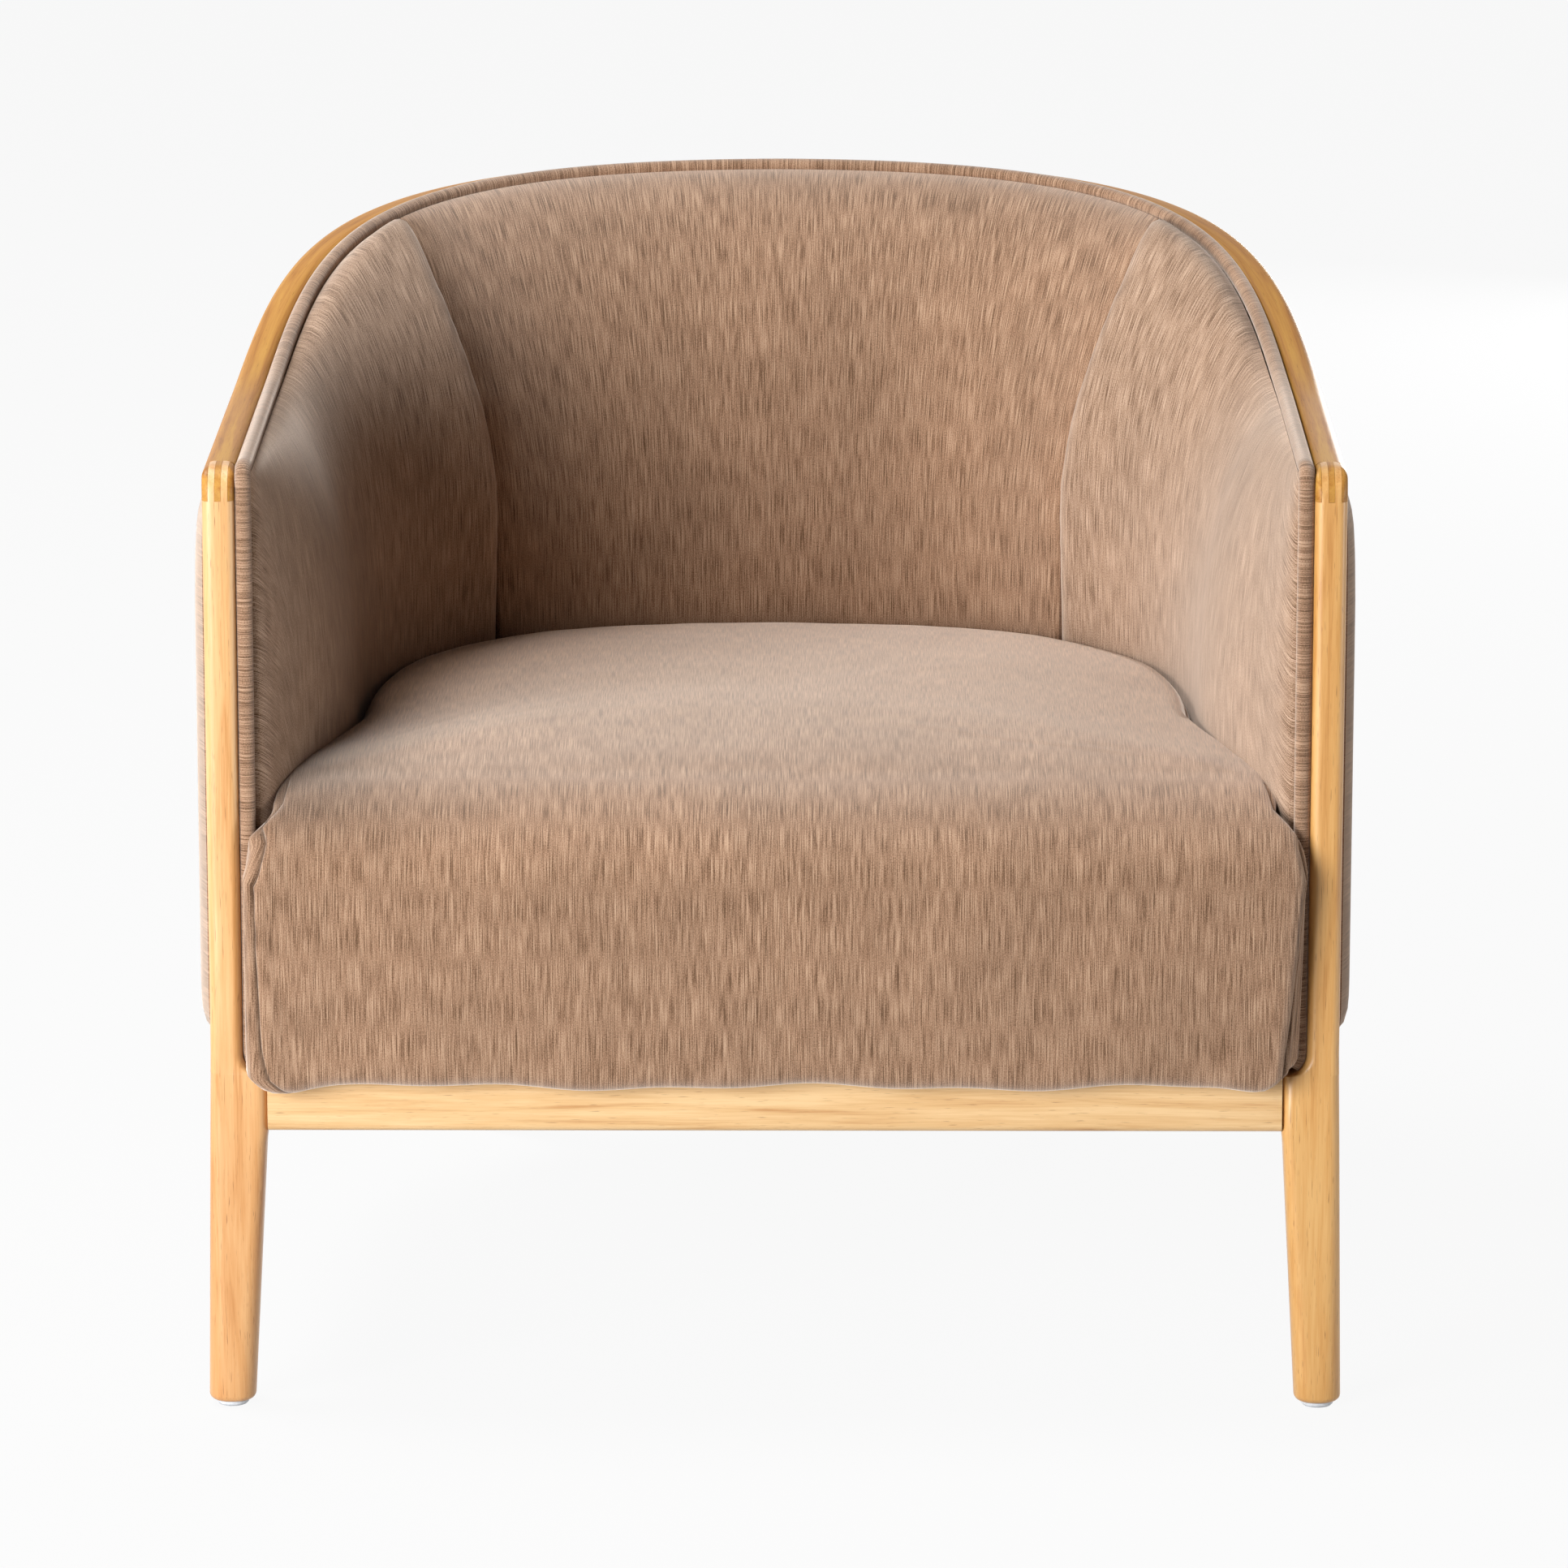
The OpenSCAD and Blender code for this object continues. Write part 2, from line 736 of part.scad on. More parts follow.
module leg_bolts() {
    color(steel) at_centre()
        for (side = [-1, 1])
            scale([side, 1, 1]) {
                front_bolt(bolt_d);
                front_bolt_head(bolt_head_d, bolt_head_h);
                rear_bolt(bolt_d);
                rear_bolt_head();
            }
}

// Shell: studs and a bent board between the seat rails and the arm and crest rails

board_in0 = rail_inset - 1;
board_in1 = board_in0 + board_t;
stud_in1 = board_in1 + stud_t;

stud_us = [0.62, 1.22, 1.62, 2.38, 2.78, 3.38];
stud_block = 3 * stud_t + 6;

module stud(u) {
    p = plan(u);
    n = inward(u);
    intersection() {
        translate([p[0], p[1], shell_low])
            rotate([0, 0, atan2(n[1], n[0]) - 90])
                translate([-stud_w / 2, 0, 0]) cube([stud_w, stud_block, 2 * back_rise + arm_height]);
        board(between(max(at_y(post_depth), u - 0.35), min(4 - at_y(post_depth), u + 0.35)),
            board_in1 + soft_gap, stud_in1, shell_low);
    }
}

module shell_studs() {
    color(pale_wood) at_centre()
        for (u = stud_us) stud(u);
}

module shell_board() {
    color(ply) at_centre()
        board(between(post_back_u, 4 - post_back_u), board_in0, board_in1, shell_low);
}

// Outer cover: a padded skin from the arm rail down to the seat rails, drawn in at its edges

cover_in = board_in0 - soft_gap;

function cover_section(top, low, out) = [
    [cover_in, low + 0.5],
    [cover_in, top],
    [1.5, top],
    [-0.35 * out, top - 6],
    [-0.75 * out, top - 20],
    [-0.95 * out, top - 45],
    [-out, top - 90],
    [-out, low + 60],
    [-0.93 * out, low + 34],
    [-0.72 * out, low + 17],
    [-0.3 * out, low + 6],
    [0.8, low],
];

function fullness(u) = let (y = arm_straight * folded(u) - post_depth) y > 26 ? 1 : 0.25 + 0.75 * sin(max(0, y) / 26 * 90);

cover_low = shell_low + soft_gap;

module outer_cover() {
    ends = [0, 4 / arm_straight, 12 / arm_straight, 26 / arm_straight];
    first = post_back_u + soft_gap / arm_straight;
    head = [for (e = ends) first + e];
    tail = [for (i = [3:-1:0]) 4 - first - ends[i]];
    us = concat(head, [for (u = stations) if (u > 0.35 && u < 3.65) u], tail);
    color(taupe) at_centre()
        skin([for (u = us) laid(u, cover_section(rim(u) - rail_h - soft_gap, cover_low, cover_bulge * fullness(u)))]);
}

// Inside padding: arms and back, each a foam body with a cover drawn over it

facet_room = 1.2;
cover_play = 0.5;
back_in = max(stud_in1, side_in1) + soft_gap + facet_room;
welt_play = 0.9;
top_in = rail_w + welt_d + soft_gap + welt_play;

function toward(u) = let (d = inside(u) - plan(u)) d / norm(d);
function squareness(u) = toward(u) * inward(u);
function reach(u) = norm(inside(u) - plan(u));
// Distance along the slanting section that lies a given depth inside the plan curve
function set_in(u, depth) = depth / squareness(u) + 11.5 * (1 - squareness(u));
// Height of the rim beside the point at distance t along that section
function rim_beside(u, t) = let (d = plan(u + nudge) - plan(u - nudge), rise = rim(u + nudge) - rim(u - nudge))
    rim(u) + t * rise * (toward(u) * d) / (d * d);

// Share of the slope left at height share v: full at the seat, rolled over at the welt
function slope(v) = pow(1 - pow(v, 2.2), roll_power);
levels = [0, 0.14, 0.3, 0.46, 0.62, 0.76, 0.87, 0.95, 0.99];

function pad_face(u, skin_in, dip) = let (
        t = set_in(u, top_in - skin_in),
        full = reach(u) - skin_in - dip,
        top = rim_beside(u, t) - 2.5 - 1.2 * skin_in)
    concat(
        [[full, soft_low]],
        [for (v = levels) [t + (full - t) * slope(v), lean_start + (top - lean_start) * v]],
        [[t, top - 0.5]]
    );

function pad_back(u) = let (t = set_in(u, back_in)) [[t, rim_beside(u, t) - 9], [t, soft_low]];

function pad_laid(u, section) = let (p = plan(u), n = toward(u))
    [for (q = section) [p[0] + n[0] * q[0], p[1] + n[1] * q[0], q[1]]];

function backwards(list) = [for (i = [len(list) - 1:-1:0]) list[i]];

function foam_section(u, dip) = concat(pad_back(u), pad_face(u, fabric_t + cover_play, dip));
function skin_section(u, dip) = concat(pad_face(u, 0, dip), backwards(pad_face(u, fabric_t, dip)));

// Stations of a pad, with two close ones at each end where the seam draws it in
seam_run = 0.035;
function pad_stations(a, b) = concat([a, a + seam_run], [for (u = stations) if (u > a + 0.06 && u < b - 0.06) u],
    [b - seam_run, b]);
function dip_at(u, a, b, da, db) = u == a ? da : u == b ? db : 0;

module pad_foam(a, b, da, db) {
    skin([for (u = pad_stations(a, b)) pad_laid(u, foam_section(u, dip_at(u, a, b, da, db)))]);
}

module pad_cover(a, b, da, db) {
    hollow_skin([for (u = pad_stations(a, b)) pad_laid(u, skin_section(u, dip_at(u, a, b, da, db)))]);
}

arm_pad_u = at_y(welt_y + welt_r + soft_gap);
seam_play = 0.001;

module back_foam() {
    color(foam_yellow) at_centre() difference() {
        pad_foam(seam_u + seam_play, 4 - seam_u - seam_play, seam_dip, seam_dip);
        for (side = [-1, 1])
            scale([side, 1, 1]) at_rear_leg()
                translate([-rear_head / 2 - soft_gap, 0, rail_low])
                    cube([rear_head + 2 * soft_gap, rail_inset + rear_head + soft_gap, side_rail_h + soft_gap]);
    }
}

module back_cover() {
    color(taupe) at_centre()
        pad_cover(seam_u + seam_play, 4 - seam_u - seam_play, seam_dip, seam_dip);
}

// Beside the leg head and under the bend of the welt the foam is cut away
trim = 4 * rail_w;

module arm_foam() {
    difference() {
        pad_foam(arm_pad_u, seam_u, 2, seam_dip);
        translate([post_inner - head_fillet - soft_gap, -1, soft_low - 1])
            cube([trim, post_depth + 1 + soft_gap, fillet_top + soft_gap - soft_low + 1]);
        translate([post_inner - welt_d - 2 * soft_gap, -1, arm_height - welt_bend - welt_r - 4])
            cube([trim, welt_y + 2 * welt_bend, trim]);
    }
}

module arm_cover() {
    pad_cover(arm_pad_u, seam_u, 2, seam_dip);
}

module arm_foam_left() {
    color(foam_yellow) on_side(-1) arm_foam();
}

module arm_foam_right() {
    color(foam_yellow) on_side(1) arm_foam();
}

module arm_cover_left() {
    color(taupe) on_side(-1) arm_cover();
}

module arm_cover_right() {
    color(taupe) on_side(1) arm_cover();
}

// Welt: a covered cord up the inside of one post, round under the rim and down the other post

welt_in = rail_w + welt_r;
welt_low = fillet_top + 0.5;
welt_bend = 8;
welt_sides = 8;

function welt_ring(c, side, up) = [
    for (j = [0:welt_sides - 1]) let (a = 360 * j / welt_sides + 22.5)
        c + side * (welt_r * cos(a)) + up * (welt_r * sin(a))
];

function welt_turn_ring(a) = let (
        c = [half_w - welt_in, welt_y + welt_bend * (1 - cos(a)), arm_height - 1 - welt_bend + welt_bend * sin(a)])
    welt_ring(c, [-1, 0, 0], [0, -cos(a), sin(a)]);

function welt_ring_at(u) = let (p = plan(u), n = inward(u), c = p + n * (welt_in + soft_gap))
    welt_ring([c[0], c[1], rim(u) - 1], [n[0], n[1], 0], [0, 0, 1]);

welt_half = concat(
    [welt_ring([half_w - welt_in, welt_y, welt_low], [-1, 0, 0], [0, -1, 0])],
    [welt_ring([half_w - welt_in, welt_y, (welt_low + arm_height) / 2], [-1, 0, 0], [0, -1, 0])],
    [for (a = [0, 30, 60]) welt_turn_ring(a)],
    [for (u = between(at_y(welt_y + welt_bend + 2), 2)) welt_ring_at(u)]
);

function flip(ring) = [for (p = ring) [-p[0], p[1], p[2]]];

module welt() {
    n = len(welt_half);
    color(taupe_light) at_centre()
        skin(concat(welt_half, [for (i = [n - 2:-1:0]) flip(welt_half[i])]));
}

// Battens inside the side rails carry the cross straps

batten_top = head_top + strap_t;
batten_screws_each = 3;
batten_end = 20;

module batten() {
    difference() {
        band(between(at_y(batten_y0), batten_u1), side_in1, side_in1 + batten_w, batten_top - batten_w, batten_top);
        batten_screw_set(screw_d + 2 * bore_play, 0);
    }
}

module batten_screw_set(d, head_d) {
    pitch = (arm_straight - batten_y0 - 2 * batten_end) / (batten_screws_each - 1);
    for (i = [0:batten_screws_each - 1])
        translate([side_inner_x - batten_w, batten_y0 + batten_end + i * pitch, batten_top - batten_w / 2])
            rotate([0, 90, 0]) screw(d, batten_w + side_rail_t - 5, head_d, head_d > 0 ? screw_head_h : 0);
}

module webbing_battens() {
    color(pale_wood) at_centre()
        for (side = [-1, 1])
            scale([side, 1, 1]) batten();
}

module batten_screws() {
    color(steel) at_centre()
        for (side = [-1, 1])
            scale([side, 1, 1]) batten_screw_set(screw_d, screw_head_d);
}

// Seat platform: two layers of elastic straps and a cloth over them

platform_front = 6;
long_span = 0.84 * (2 * seat_half - strap_w);
long_end = cross_rail_y + side_rail_t - 4;
cross_first = 116;
cross_last = cross_rail_y - 65;
cross_step = (cross_last - cross_first) / (straps_cross - 1);

module seat_webbing() {
    color(black_cloth) at_centre() {
        for (i = [0:straps_long - 1]) {
            x = long_span * (i / (straps_long - 1) - 0.5);
            translate([x - strap_w / 2, platform_front, head_top])
                cube([strap_w, long_end - platform_front, strap_t]);
        }
        intersection() {
            for (i = [0:straps_cross - 1])
                translate([-half_w, cross_first + i * cross_step - strap_w / 2, head_top + strap_t + strap_gap])
                    cube([2 * half_w, strap_w, strap_t]);
            seat_well(head_top, straps_top, side_in1 + soft_gap);
        }
    }
}

module platform_cloth() {
    color(black_cloth) at_centre() intersection() {
        translate([-head_inner + 1, platform_front, straps_top])
            cube([2 * head_inner - 2, long_end - platform_front, cloth_t]);
        seat_well(head_top, deck_top + 1, side_in1 + soft_gap);
    }
}

module dust_cover() {
    color(black_cloth) at_centre() difference() {
        intersection() {
            translate([0, 0, rail_low - cloth_t]) linear_extrude(cloth_t)
                polygon([for (u = between(at_y(10), 4 - at_y(10))) let (p = plan(u), n = inward(u)) p + n * 10]);
            translate([-half_w, 10, 0]) cube([2 * half_w, frame_depth, rail_low]);
        }
        for (side = [-1, 1])
            scale([side, 1, 1]) {
                translate([head_inner - 2, -1, rail_low - 5]) cube([60, post_depth + 3, 10]);
                at_rear_leg()
                    translate([-rear_head / 2 - 2, -10, rail_low - 5])
                        cube([rear_head + 4, rail_inset + rear_head + 12, 10]);
            }
    }
}

// Glides: a domed nylon disc on a nail under each foot

front_glide_at = [half_w + foot_flare - foot_w / 2, foot_back + foot_depth / 2];
rear_glide_at = [rear_mid[0] + rear_splay, rear_mid[1] + rear_rake];

nail_hole_sides = 12;

module glide_nail_hole(at) {
    r = (glide_pin_d / 2 + bore_play) / cos(180 / nail_hole_sides);
    translate([at[0], at[1], glide_h - 1]) linear_extrude(glide_pin_len + 1.2)
        polygon([for (j = [0:nail_hole_sides - 1]) let (a = 360 * (j + 0.37) / nail_hole_sides) r * [cos(a), sin(a)]]);
}

module glide(at) {
    translate([at[0], at[1], 0]) rotate_extrude($fn = 40)
        polygon([
            [0, 0], [glide_d / 2 - 1.2, 0], [glide_d / 2, 1.2], [glide_d / 2, glide_h],
            [glide_pin_d / 2, glide_h], [glide_pin_d / 2, glide_h + glide_pin_len], [0, glide_h + glide_pin_len],
        ]);
}

module glide_front_left() {
    color(nylon) on_side(-1) glide(front_glide_at);
}

module glide_front_right() {
    color(nylon) on_side(1) glide(front_glide_at);
}

module glide_rear_left() {
    color(nylon) on_side(-1) glide(rear_glide_at);
}

module glide_rear_right() {
    color(nylon) on_side(1) glide(rear_glide_at);
}

// Seat cushion: boxed, with a rounded nose, drawn-in sides and a crown

cushion_low = deck_top + soft_gap;
cushion_side_y = 14;
cushion_side_u = at_y(cushion_side_y);
front_r = 14;
front_half = inside(cushion_side_u)[0] - cushion_gap + 2;
nose_points = 4;
nose_reach = 2.6 * nose_r;

// Outline of the cushion: round the sides and the back, then across the nose
function back_point(u) = let (p = inside(u), n = toward(u), f = folded(u),
        gap = f < 1.4 ? cushion_gap : cushion_gap + (back_gap - cushion_gap) * min(1, (f - 1.4) / 0.3))
    [p[0] + n[0] * gap, p[1] + n[1] * gap];
front_corner = concat(
    [[front_half, 3]],
    [for (a = [0:30:90]) [front_half - front_r + front_r * cos(a), front_r - nose - front_r * sin(a)]],
    [for (i = [1:nose_points]) [(front_half - front_r) * (1 - i / nose_points), -nose]]
);
outline = concat(
    [for (u = concat([cushion_side_u], [for (u = stations) if (u > 0.15 && u < 3.85) u], [4 - cushion_side_u])) back_point(u)],
    [for (q = front_corner) [-q[0], q[1]]],
    [for (i = [len(front_corner) - 2:-1:0]) front_corner[i]]
);
outline_n = len(outline);
outline_depth = inside_back_y - back_gap + nose;

// How far the rounding of the nose counts at a point of the outline; it fades to the back
function nose_share(q) = max(0, 1 - (q[1] + nose) / nose_reach);

// In front of the arms the cushion swells out to the posts
ear_out = post_inner - 4 - front_half;
ear_full = front_half - 13;
ear_from = ear_full - 90;
function swollen(p) = let (
        w = min(1, max(0, (cushion_side_y - p[1]) / (cushion_side_y + 4))),
        k = min(1, max(0, (abs(p[0]) - ear_from) / (ear_full - ear_from))))
    [p[0] + sign(p[0]) * ear_out * w * k, p[1], p[2]];

edge_top = seat_height - crown_drop;

// One level of the cushion's rounded edge: a is 0 where the side starts to round and 90 at the top or bottom.
// Shrink makes the core inside the cover.
function side_ring(a, top, shrink) = let (
        side_e = (top ? side_r : under_r) * (1 - cos(a)) + shrink,
        nose_e = (top ? nose_r : under_r) * (1 - cos(a)) + shrink)
    [for (q = outline) let (
        s = nose_share(q),
        r = top ? side_r + (nose_r - side_r) * s * s : under_r,
        rise = (r - shrink) * sin(a),
        z = top ? edge_top - r + rise : cushion_low + r - rise)
        swollen([
            q[0] * (front_half - side_e) / front_half,
            nose_e - nose + (q[1] + nose) * (outline_depth - nose_e - side_e) / outline_depth,
            z])];

function crown_ring(s, shrink) = let (rim_ring = side_ring(90, true, shrink), c = [0, (inside_back_y - nose) / 2])
    [for (p = rim_ring) [
        c[0] + (p[0] - c[0]) * s,
        c[1] + (p[1] - c[1]) * s,
        p[2] + crown_drop * (1 - s * s)]];

// The underside is a little hollow
under_hollow = 0.6;
function under_ring(s, shrink) = let (rim_ring = side_ring(90, false, shrink), y0 = (inside_back_y - nose) / 2)
    [for (p = rim_ring) [p[0] * s, y0 + (p[1] - y0) * s, p[2] + under_hollow * (1 - s)]];

function cushion_rings(shrink) = concat(
    [for (s = [0.1, 1]) under_ring(s, shrink)],
    [for (a = [45, 0]) side_ring(a, false, shrink)],
    [for (a = [0, 30, 60, 90]) side_ring(a, true, shrink)],
    [for (s = [0.75, 0.45, 0.15]) crown_ring(s, shrink)]
);

module cushion_solid(shrink) {
    skin(cushion_rings(shrink));
}

module cushion_foam() {
    color(foam_yellow) at_centre() cushion_solid(fabric_t);
}

module cushion_cover() {
    color(taupe_light) at_centre() difference() {
        cushion_solid(0);
        cushion_solid(fabric_t);
        translate([-zip_len / 2 + 5, inside_back_y - 40, zip_z - zip_slot / 2])
            cube([zip_len - 10, 60, zip_slot]);
    }
}

// Zip in the back of the boxing, with its slider at one end
zip_z = (cushion_low + edge_top) / 2;
zip_gap = 0.5;
zip_slot = 6;

function zip_point(x, out) = let (
        t = pow(abs(x) / (seat_half - cushion_gap), plan_power),
        y = arm_straight + (inside_back_y - back_gap - arm_straight) * pow(1 - t, 1 / plan_power))
    [x, y + out];

module cushion_zip() {
    xs = [for (i = [0:12]) zip_len * (i / 12 - 0.5)];
    color(black_cloth) at_centre()
        skin([for (x = xs) let (a = zip_point(x, zip_gap), b = zip_point(x, zip_gap + zip_t))
            [[a[0], a[1], zip_z - zip_w / 2], [b[0], b[1], zip_z - zip_w / 2],
                [b[0], b[1], zip_z + zip_w / 2], [a[0], a[1], zip_z + zip_w / 2]]]);
}

front_leg_left();
front_leg_right();
rear_leg_left();
rear_leg_right();
front_rail();
side_rail_left();
side_rail_right();
back_rail();
cross_rail();
arm_rail_left();
arm_rail_right();
crest_rail();
corner_blocks();
block_screws();
rail_dowels();
crest_dowels();
leg_bolts();
webbing_battens();
batten_screws();
shell_studs();
shell_board();
outer_cover();
back_foam();
back_cover();
arm_foam_left();
arm_foam_right();
arm_cover_left();
arm_cover_right();
welt();
seat_webbing();
platform_cloth();
dust_cover();
glide_front_left();
glide_front_right();
glide_rear_left();
glide_rear_right();
cushion_foam();
cushion_cover();
cushion_zip();
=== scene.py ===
# %% [markdown]
# # Occasional tub chair
# Two square front posts rise into a rail that runs level along the arms and climbs round the back. Inside
# this hoop are three upholstered pads with a covered cord, the welt, between them and the wood. A loose
# cushion lies on elastic webbing, and a padded cover closes the outside. Sizes are millimetres as in the
# part's source, and one function turns them into metres.

# %% Load the frame and keep its box
import math
import bpy
import bmesh
import numpy as np
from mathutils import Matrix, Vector, noise


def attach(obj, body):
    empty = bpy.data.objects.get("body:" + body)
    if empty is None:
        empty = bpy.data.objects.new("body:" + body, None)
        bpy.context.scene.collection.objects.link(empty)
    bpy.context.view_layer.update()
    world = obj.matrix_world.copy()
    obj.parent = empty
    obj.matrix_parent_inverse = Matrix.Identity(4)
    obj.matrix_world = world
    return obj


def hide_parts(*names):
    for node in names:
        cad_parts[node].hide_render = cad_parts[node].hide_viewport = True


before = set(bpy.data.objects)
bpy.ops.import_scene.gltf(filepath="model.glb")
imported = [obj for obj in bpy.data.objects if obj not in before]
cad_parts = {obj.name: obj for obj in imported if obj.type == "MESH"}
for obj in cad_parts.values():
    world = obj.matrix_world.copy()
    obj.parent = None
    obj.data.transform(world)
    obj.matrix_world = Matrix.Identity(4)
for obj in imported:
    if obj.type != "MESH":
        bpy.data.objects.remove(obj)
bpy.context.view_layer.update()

# %% [markdown]
# ## Camera
# The photograph was taken from straight ahead and a little above with a long lens, so the legs hardly
# converge. The camera stands five metres away and looks down by thirteen degrees.

# %% Camera
LOOKS_DOWN, LOOKS_LEFT = 13.256, 0.30
camera = bpy.data.objects.new("camera", bpy.data.cameras.new("camera"))
camera.location = (0.032, -5.32625, 1.5789)
camera.rotation_euler = (math.radians(90 - LOOKS_DOWN), 0, math.radians(LOOKS_LEFT))
camera.data.lens = 192.36
camera.data.sensor_width = 36
camera.data.clip_end = 60
bpy.context.scene.collection.objects.link(camera)
bpy.context.scene.camera = camera
print("camera at", tuple(round(v, 3) for v in camera.location))

# %% [markdown]
# ## Curves that every piece shares
# Two curves in plan rule the chair: the outside of the hoop and the inner face of the padding. A place u
# runs from the right post (0) over the middle of the back (2) to the left post (4). Rails, pads, welt and
# cover are all swept along u, so they stay true to one another.

# %% Sizes from the part's source
HALF_W, DEPTH, ARM_H, RISE, STRAIGHT = 349.0, 665.0, 597.0, 86.0, 215.0
SEAT_HALF, BACK_Y, ARM_TAPER, TAPER_POWER = 268.0, 502.0, 50.0, 1.6
PLAN_POWER, CROWDING, CLIMB_ANGLE, CLIMB_POWER = 2.5, 0.12, 23.0, 2.3
COVER_BULGE, NOSE, NUDGE = 9.5, 22.0, 0.002
MID_Y = (DEPTH + COVER_BULGE - NOSE) / 2
print("middle of the frame at y", MID_Y)

# %% Plan and height curves


def turn(u):
    """Angle round the back of a place beyond the straight arm, crowded a little towards both ends."""
    return 90 * ((u - 1) - CROWDING * math.sin(2 * math.pi * (u - 1)))


def curve(u, width, taper, depth):
    """Straight along the arm, wider by taper at its front, then a squared half ellipse round the back."""
    f, side = (u, 1) if u <= 2 else (4 - u, -1)
    if f <= 1:
        return np.array([side * (width + taper * (1 - f) ** TAPER_POWER), STRAIGHT * f])
    c, s = (max(0, way(math.radians(turn(f)))) ** (2 / PLAN_POWER) for way in (math.cos, math.sin))
    return np.array([side * width * c, STRAIGHT + (depth - STRAIGHT) * s])


def plan(u):
    """Outside of the hoop."""
    return curve(u, HALF_W, 0, DEPTH)


def inside(u):
    """Inner face of the padding at seat height."""
    return curve(u, SEAT_HALF, ARM_TAPER, BACK_Y)


def along_plan(u):
    return plan(u + NUDGE) - plan(u - NUDGE)


def inward(u):
    """Direction square to the hoop, into the chair."""
    d = along_plan(u)
    return np.array([-d[1], d[0]]) / np.linalg.norm(d)


def toward(u):
    """Direction from the hoop to the same place on the inner face."""
    d = inside(u) - plan(u)
    return d / np.linalg.norm(d)


def rim(u):
    """Height of the top of the rail: level over the arms, then climbing to the middle of the back."""
    f = u if u <= 2 else 4 - u
    if f <= 1:
        return ARM_H
    x, full = (turn(f) / CLIMB_ANGLE) ** CLIMB_POWER, (90 / CLIMB_ANGLE) ** CLIMB_POWER
    return ARM_H + RISE * x / (1 + x) * (1 + full) / full


print("height of the arms and the back:", rim(0), round(rim(2), 1))

# %% Measuring along a line


def travelled(points):
    """Distance from the first point of a line to each of its points."""
    return np.concatenate([[0], np.cumsum(np.linalg.norm(np.diff(points, axis=0), axis=1))])


def places(a, b, step):
    """Values of u from a to b whose points on the plan curve are about step mm apart."""
    us = np.linspace(a, b, 900)
    run = travelled([plan(u) for u in us])
    count = max(2, int(round(run[-1] / step)) + 1)
    return list(np.interp(np.linspace(0, run[-1], count), run, us))


def resampled(points, count, closed=False):
    """The same line through count points at even distances."""
    pts = np.array(points, float)
    if closed:
        pts = np.vstack([pts, pts[:1]])
    run = travelled(pts)
    marks = np.linspace(0, run[-1], count + 1)[:-1] if closed else np.linspace(0, run[-1], count)
    return np.column_stack([np.interp(marks, run, pts[:, k]) for k in range(pts.shape[1])])


print("half the hoop in 100 mm steps:", [round(u, 2) for u in places(0, 2, 100)])

# %% [markdown]
# ## Sweeps
# A rail, pad or cord is a sweep: the same number of points round each section, joined from one section to
# the next. Each point can carry the run of the wood's grain or of the cloth's threads in millimetres, which
# a material reads later.

# %% Mesh helpers


def to_frame(p):
    return (p[0] / 1000, (p[1] - MID_Y) / 1000, p[2] / 1000)


def write_run(mesh, values):
    layer = mesh.attributes.get("run") or mesh.attributes.new("run", "FLOAT_VECTOR", "POINT")
    layer.data.foreach_set("vector", np.array(values, np.float32).ravel())


def mesh_piece(name, points, faces, run=None, sharp=40):
    mesh = bpy.data.meshes.new(name)
    mesh.from_pydata([to_frame(p) for p in points], [], faces)
    bm = bmesh.new()
    bm.from_mesh(mesh)
    bmesh.ops.recalc_face_normals(bm, faces=bm.faces)
    bm.to_mesh(mesh)
    bm.free()
    if run is not None:
        write_run(mesh, run)
    mesh.polygons.foreach_set("use_smooth", [True] * len(mesh.polygons))
    mesh.set_sharp_from_angle(angle=math.radians(sharp))
    obj = bpy.data.objects.new(name, mesh)
    bpy.context.scene.collection.objects.link(obj)
    return obj


def sweep(name, rings, run=None, sharp=40):
    """Rings of points joined one to the next and closed at both ends."""
    around = len(rings[0])
    faces = []
    for i in range(len(rings) - 1):
        for j in range(around):
            a, b = i * around + j, i * around + (j + 1) % around
            faces.append((a, b, b + around, a + around))
    faces.append(tuple(range(around))[::-1])
    faces.append(tuple((len(rings) - 1) * around + j for j in range(around)))
    points = [p for ring in rings for p in ring]
    flat = None if run is None else [v for ring in run for v in ring]
    return mesh_piece(name, points, faces, flat, sharp)


def set_run(obj, rule):
    """Write the run of each point by a rule from its place in millimetres."""
    write_run(obj.data, [rule(*(c * 1000 for c in v.co)) for v in obj.data.vertices])


print("the front right post stands at", to_frame((HALF_W, 0, 0)))

# %% Sections


def rounded(x0, x1, y0, y1, r, steps=6, turns=(180, 270, 0, 90)):
    """Outline with corners of radius r, taken in the order of the angles at which they start."""
    outline = []
    for start in turns:
        x, y = x0 + r if 0 < start < 270 else x1 - r, y0 + r if start > 90 else y1 - r
        for a in np.radians(start + 90 * np.arange(steps + 1) / steps):
            outline.append((x + r * math.cos(a), y + r * math.sin(a)))
    return outline


def slab(x0, x1, y0, y1, z, r):
    """Level outline with rounded corners at height z."""
    r = min(r, (x1 - x0) / 2 - 0.05, (y1 - y0) / 2 - 0.05)
    return [(x, y, z) for x, y in rounded(x0, x1, y0, y1, r, turns=(0, 90, 180, 270))]


def laid(u, section):
    """A section set up square to the hoop at u."""
    p, n = plan(u), inward(u)
    return [(p[0] + n[0] * q[0], p[1] + n[1] * q[0], q[1]) for q in section]


def strip(name, a, b, step, section_at, grain):
    """A sweep along the hoop from a to b; grain is the section at which its wood grain is read."""
    rings = [laid(u, section_at(u)) for u in places(a, b, step)]
    along = travelled([np.mean(ring, axis=0) for ring in rings])
    run = [[(q[0], q[1], s) for q in grain] for s in along]
    return sweep(name, rings, run)


print("points round a section:", len(rounded(0, 20, 0, 20, 6)))

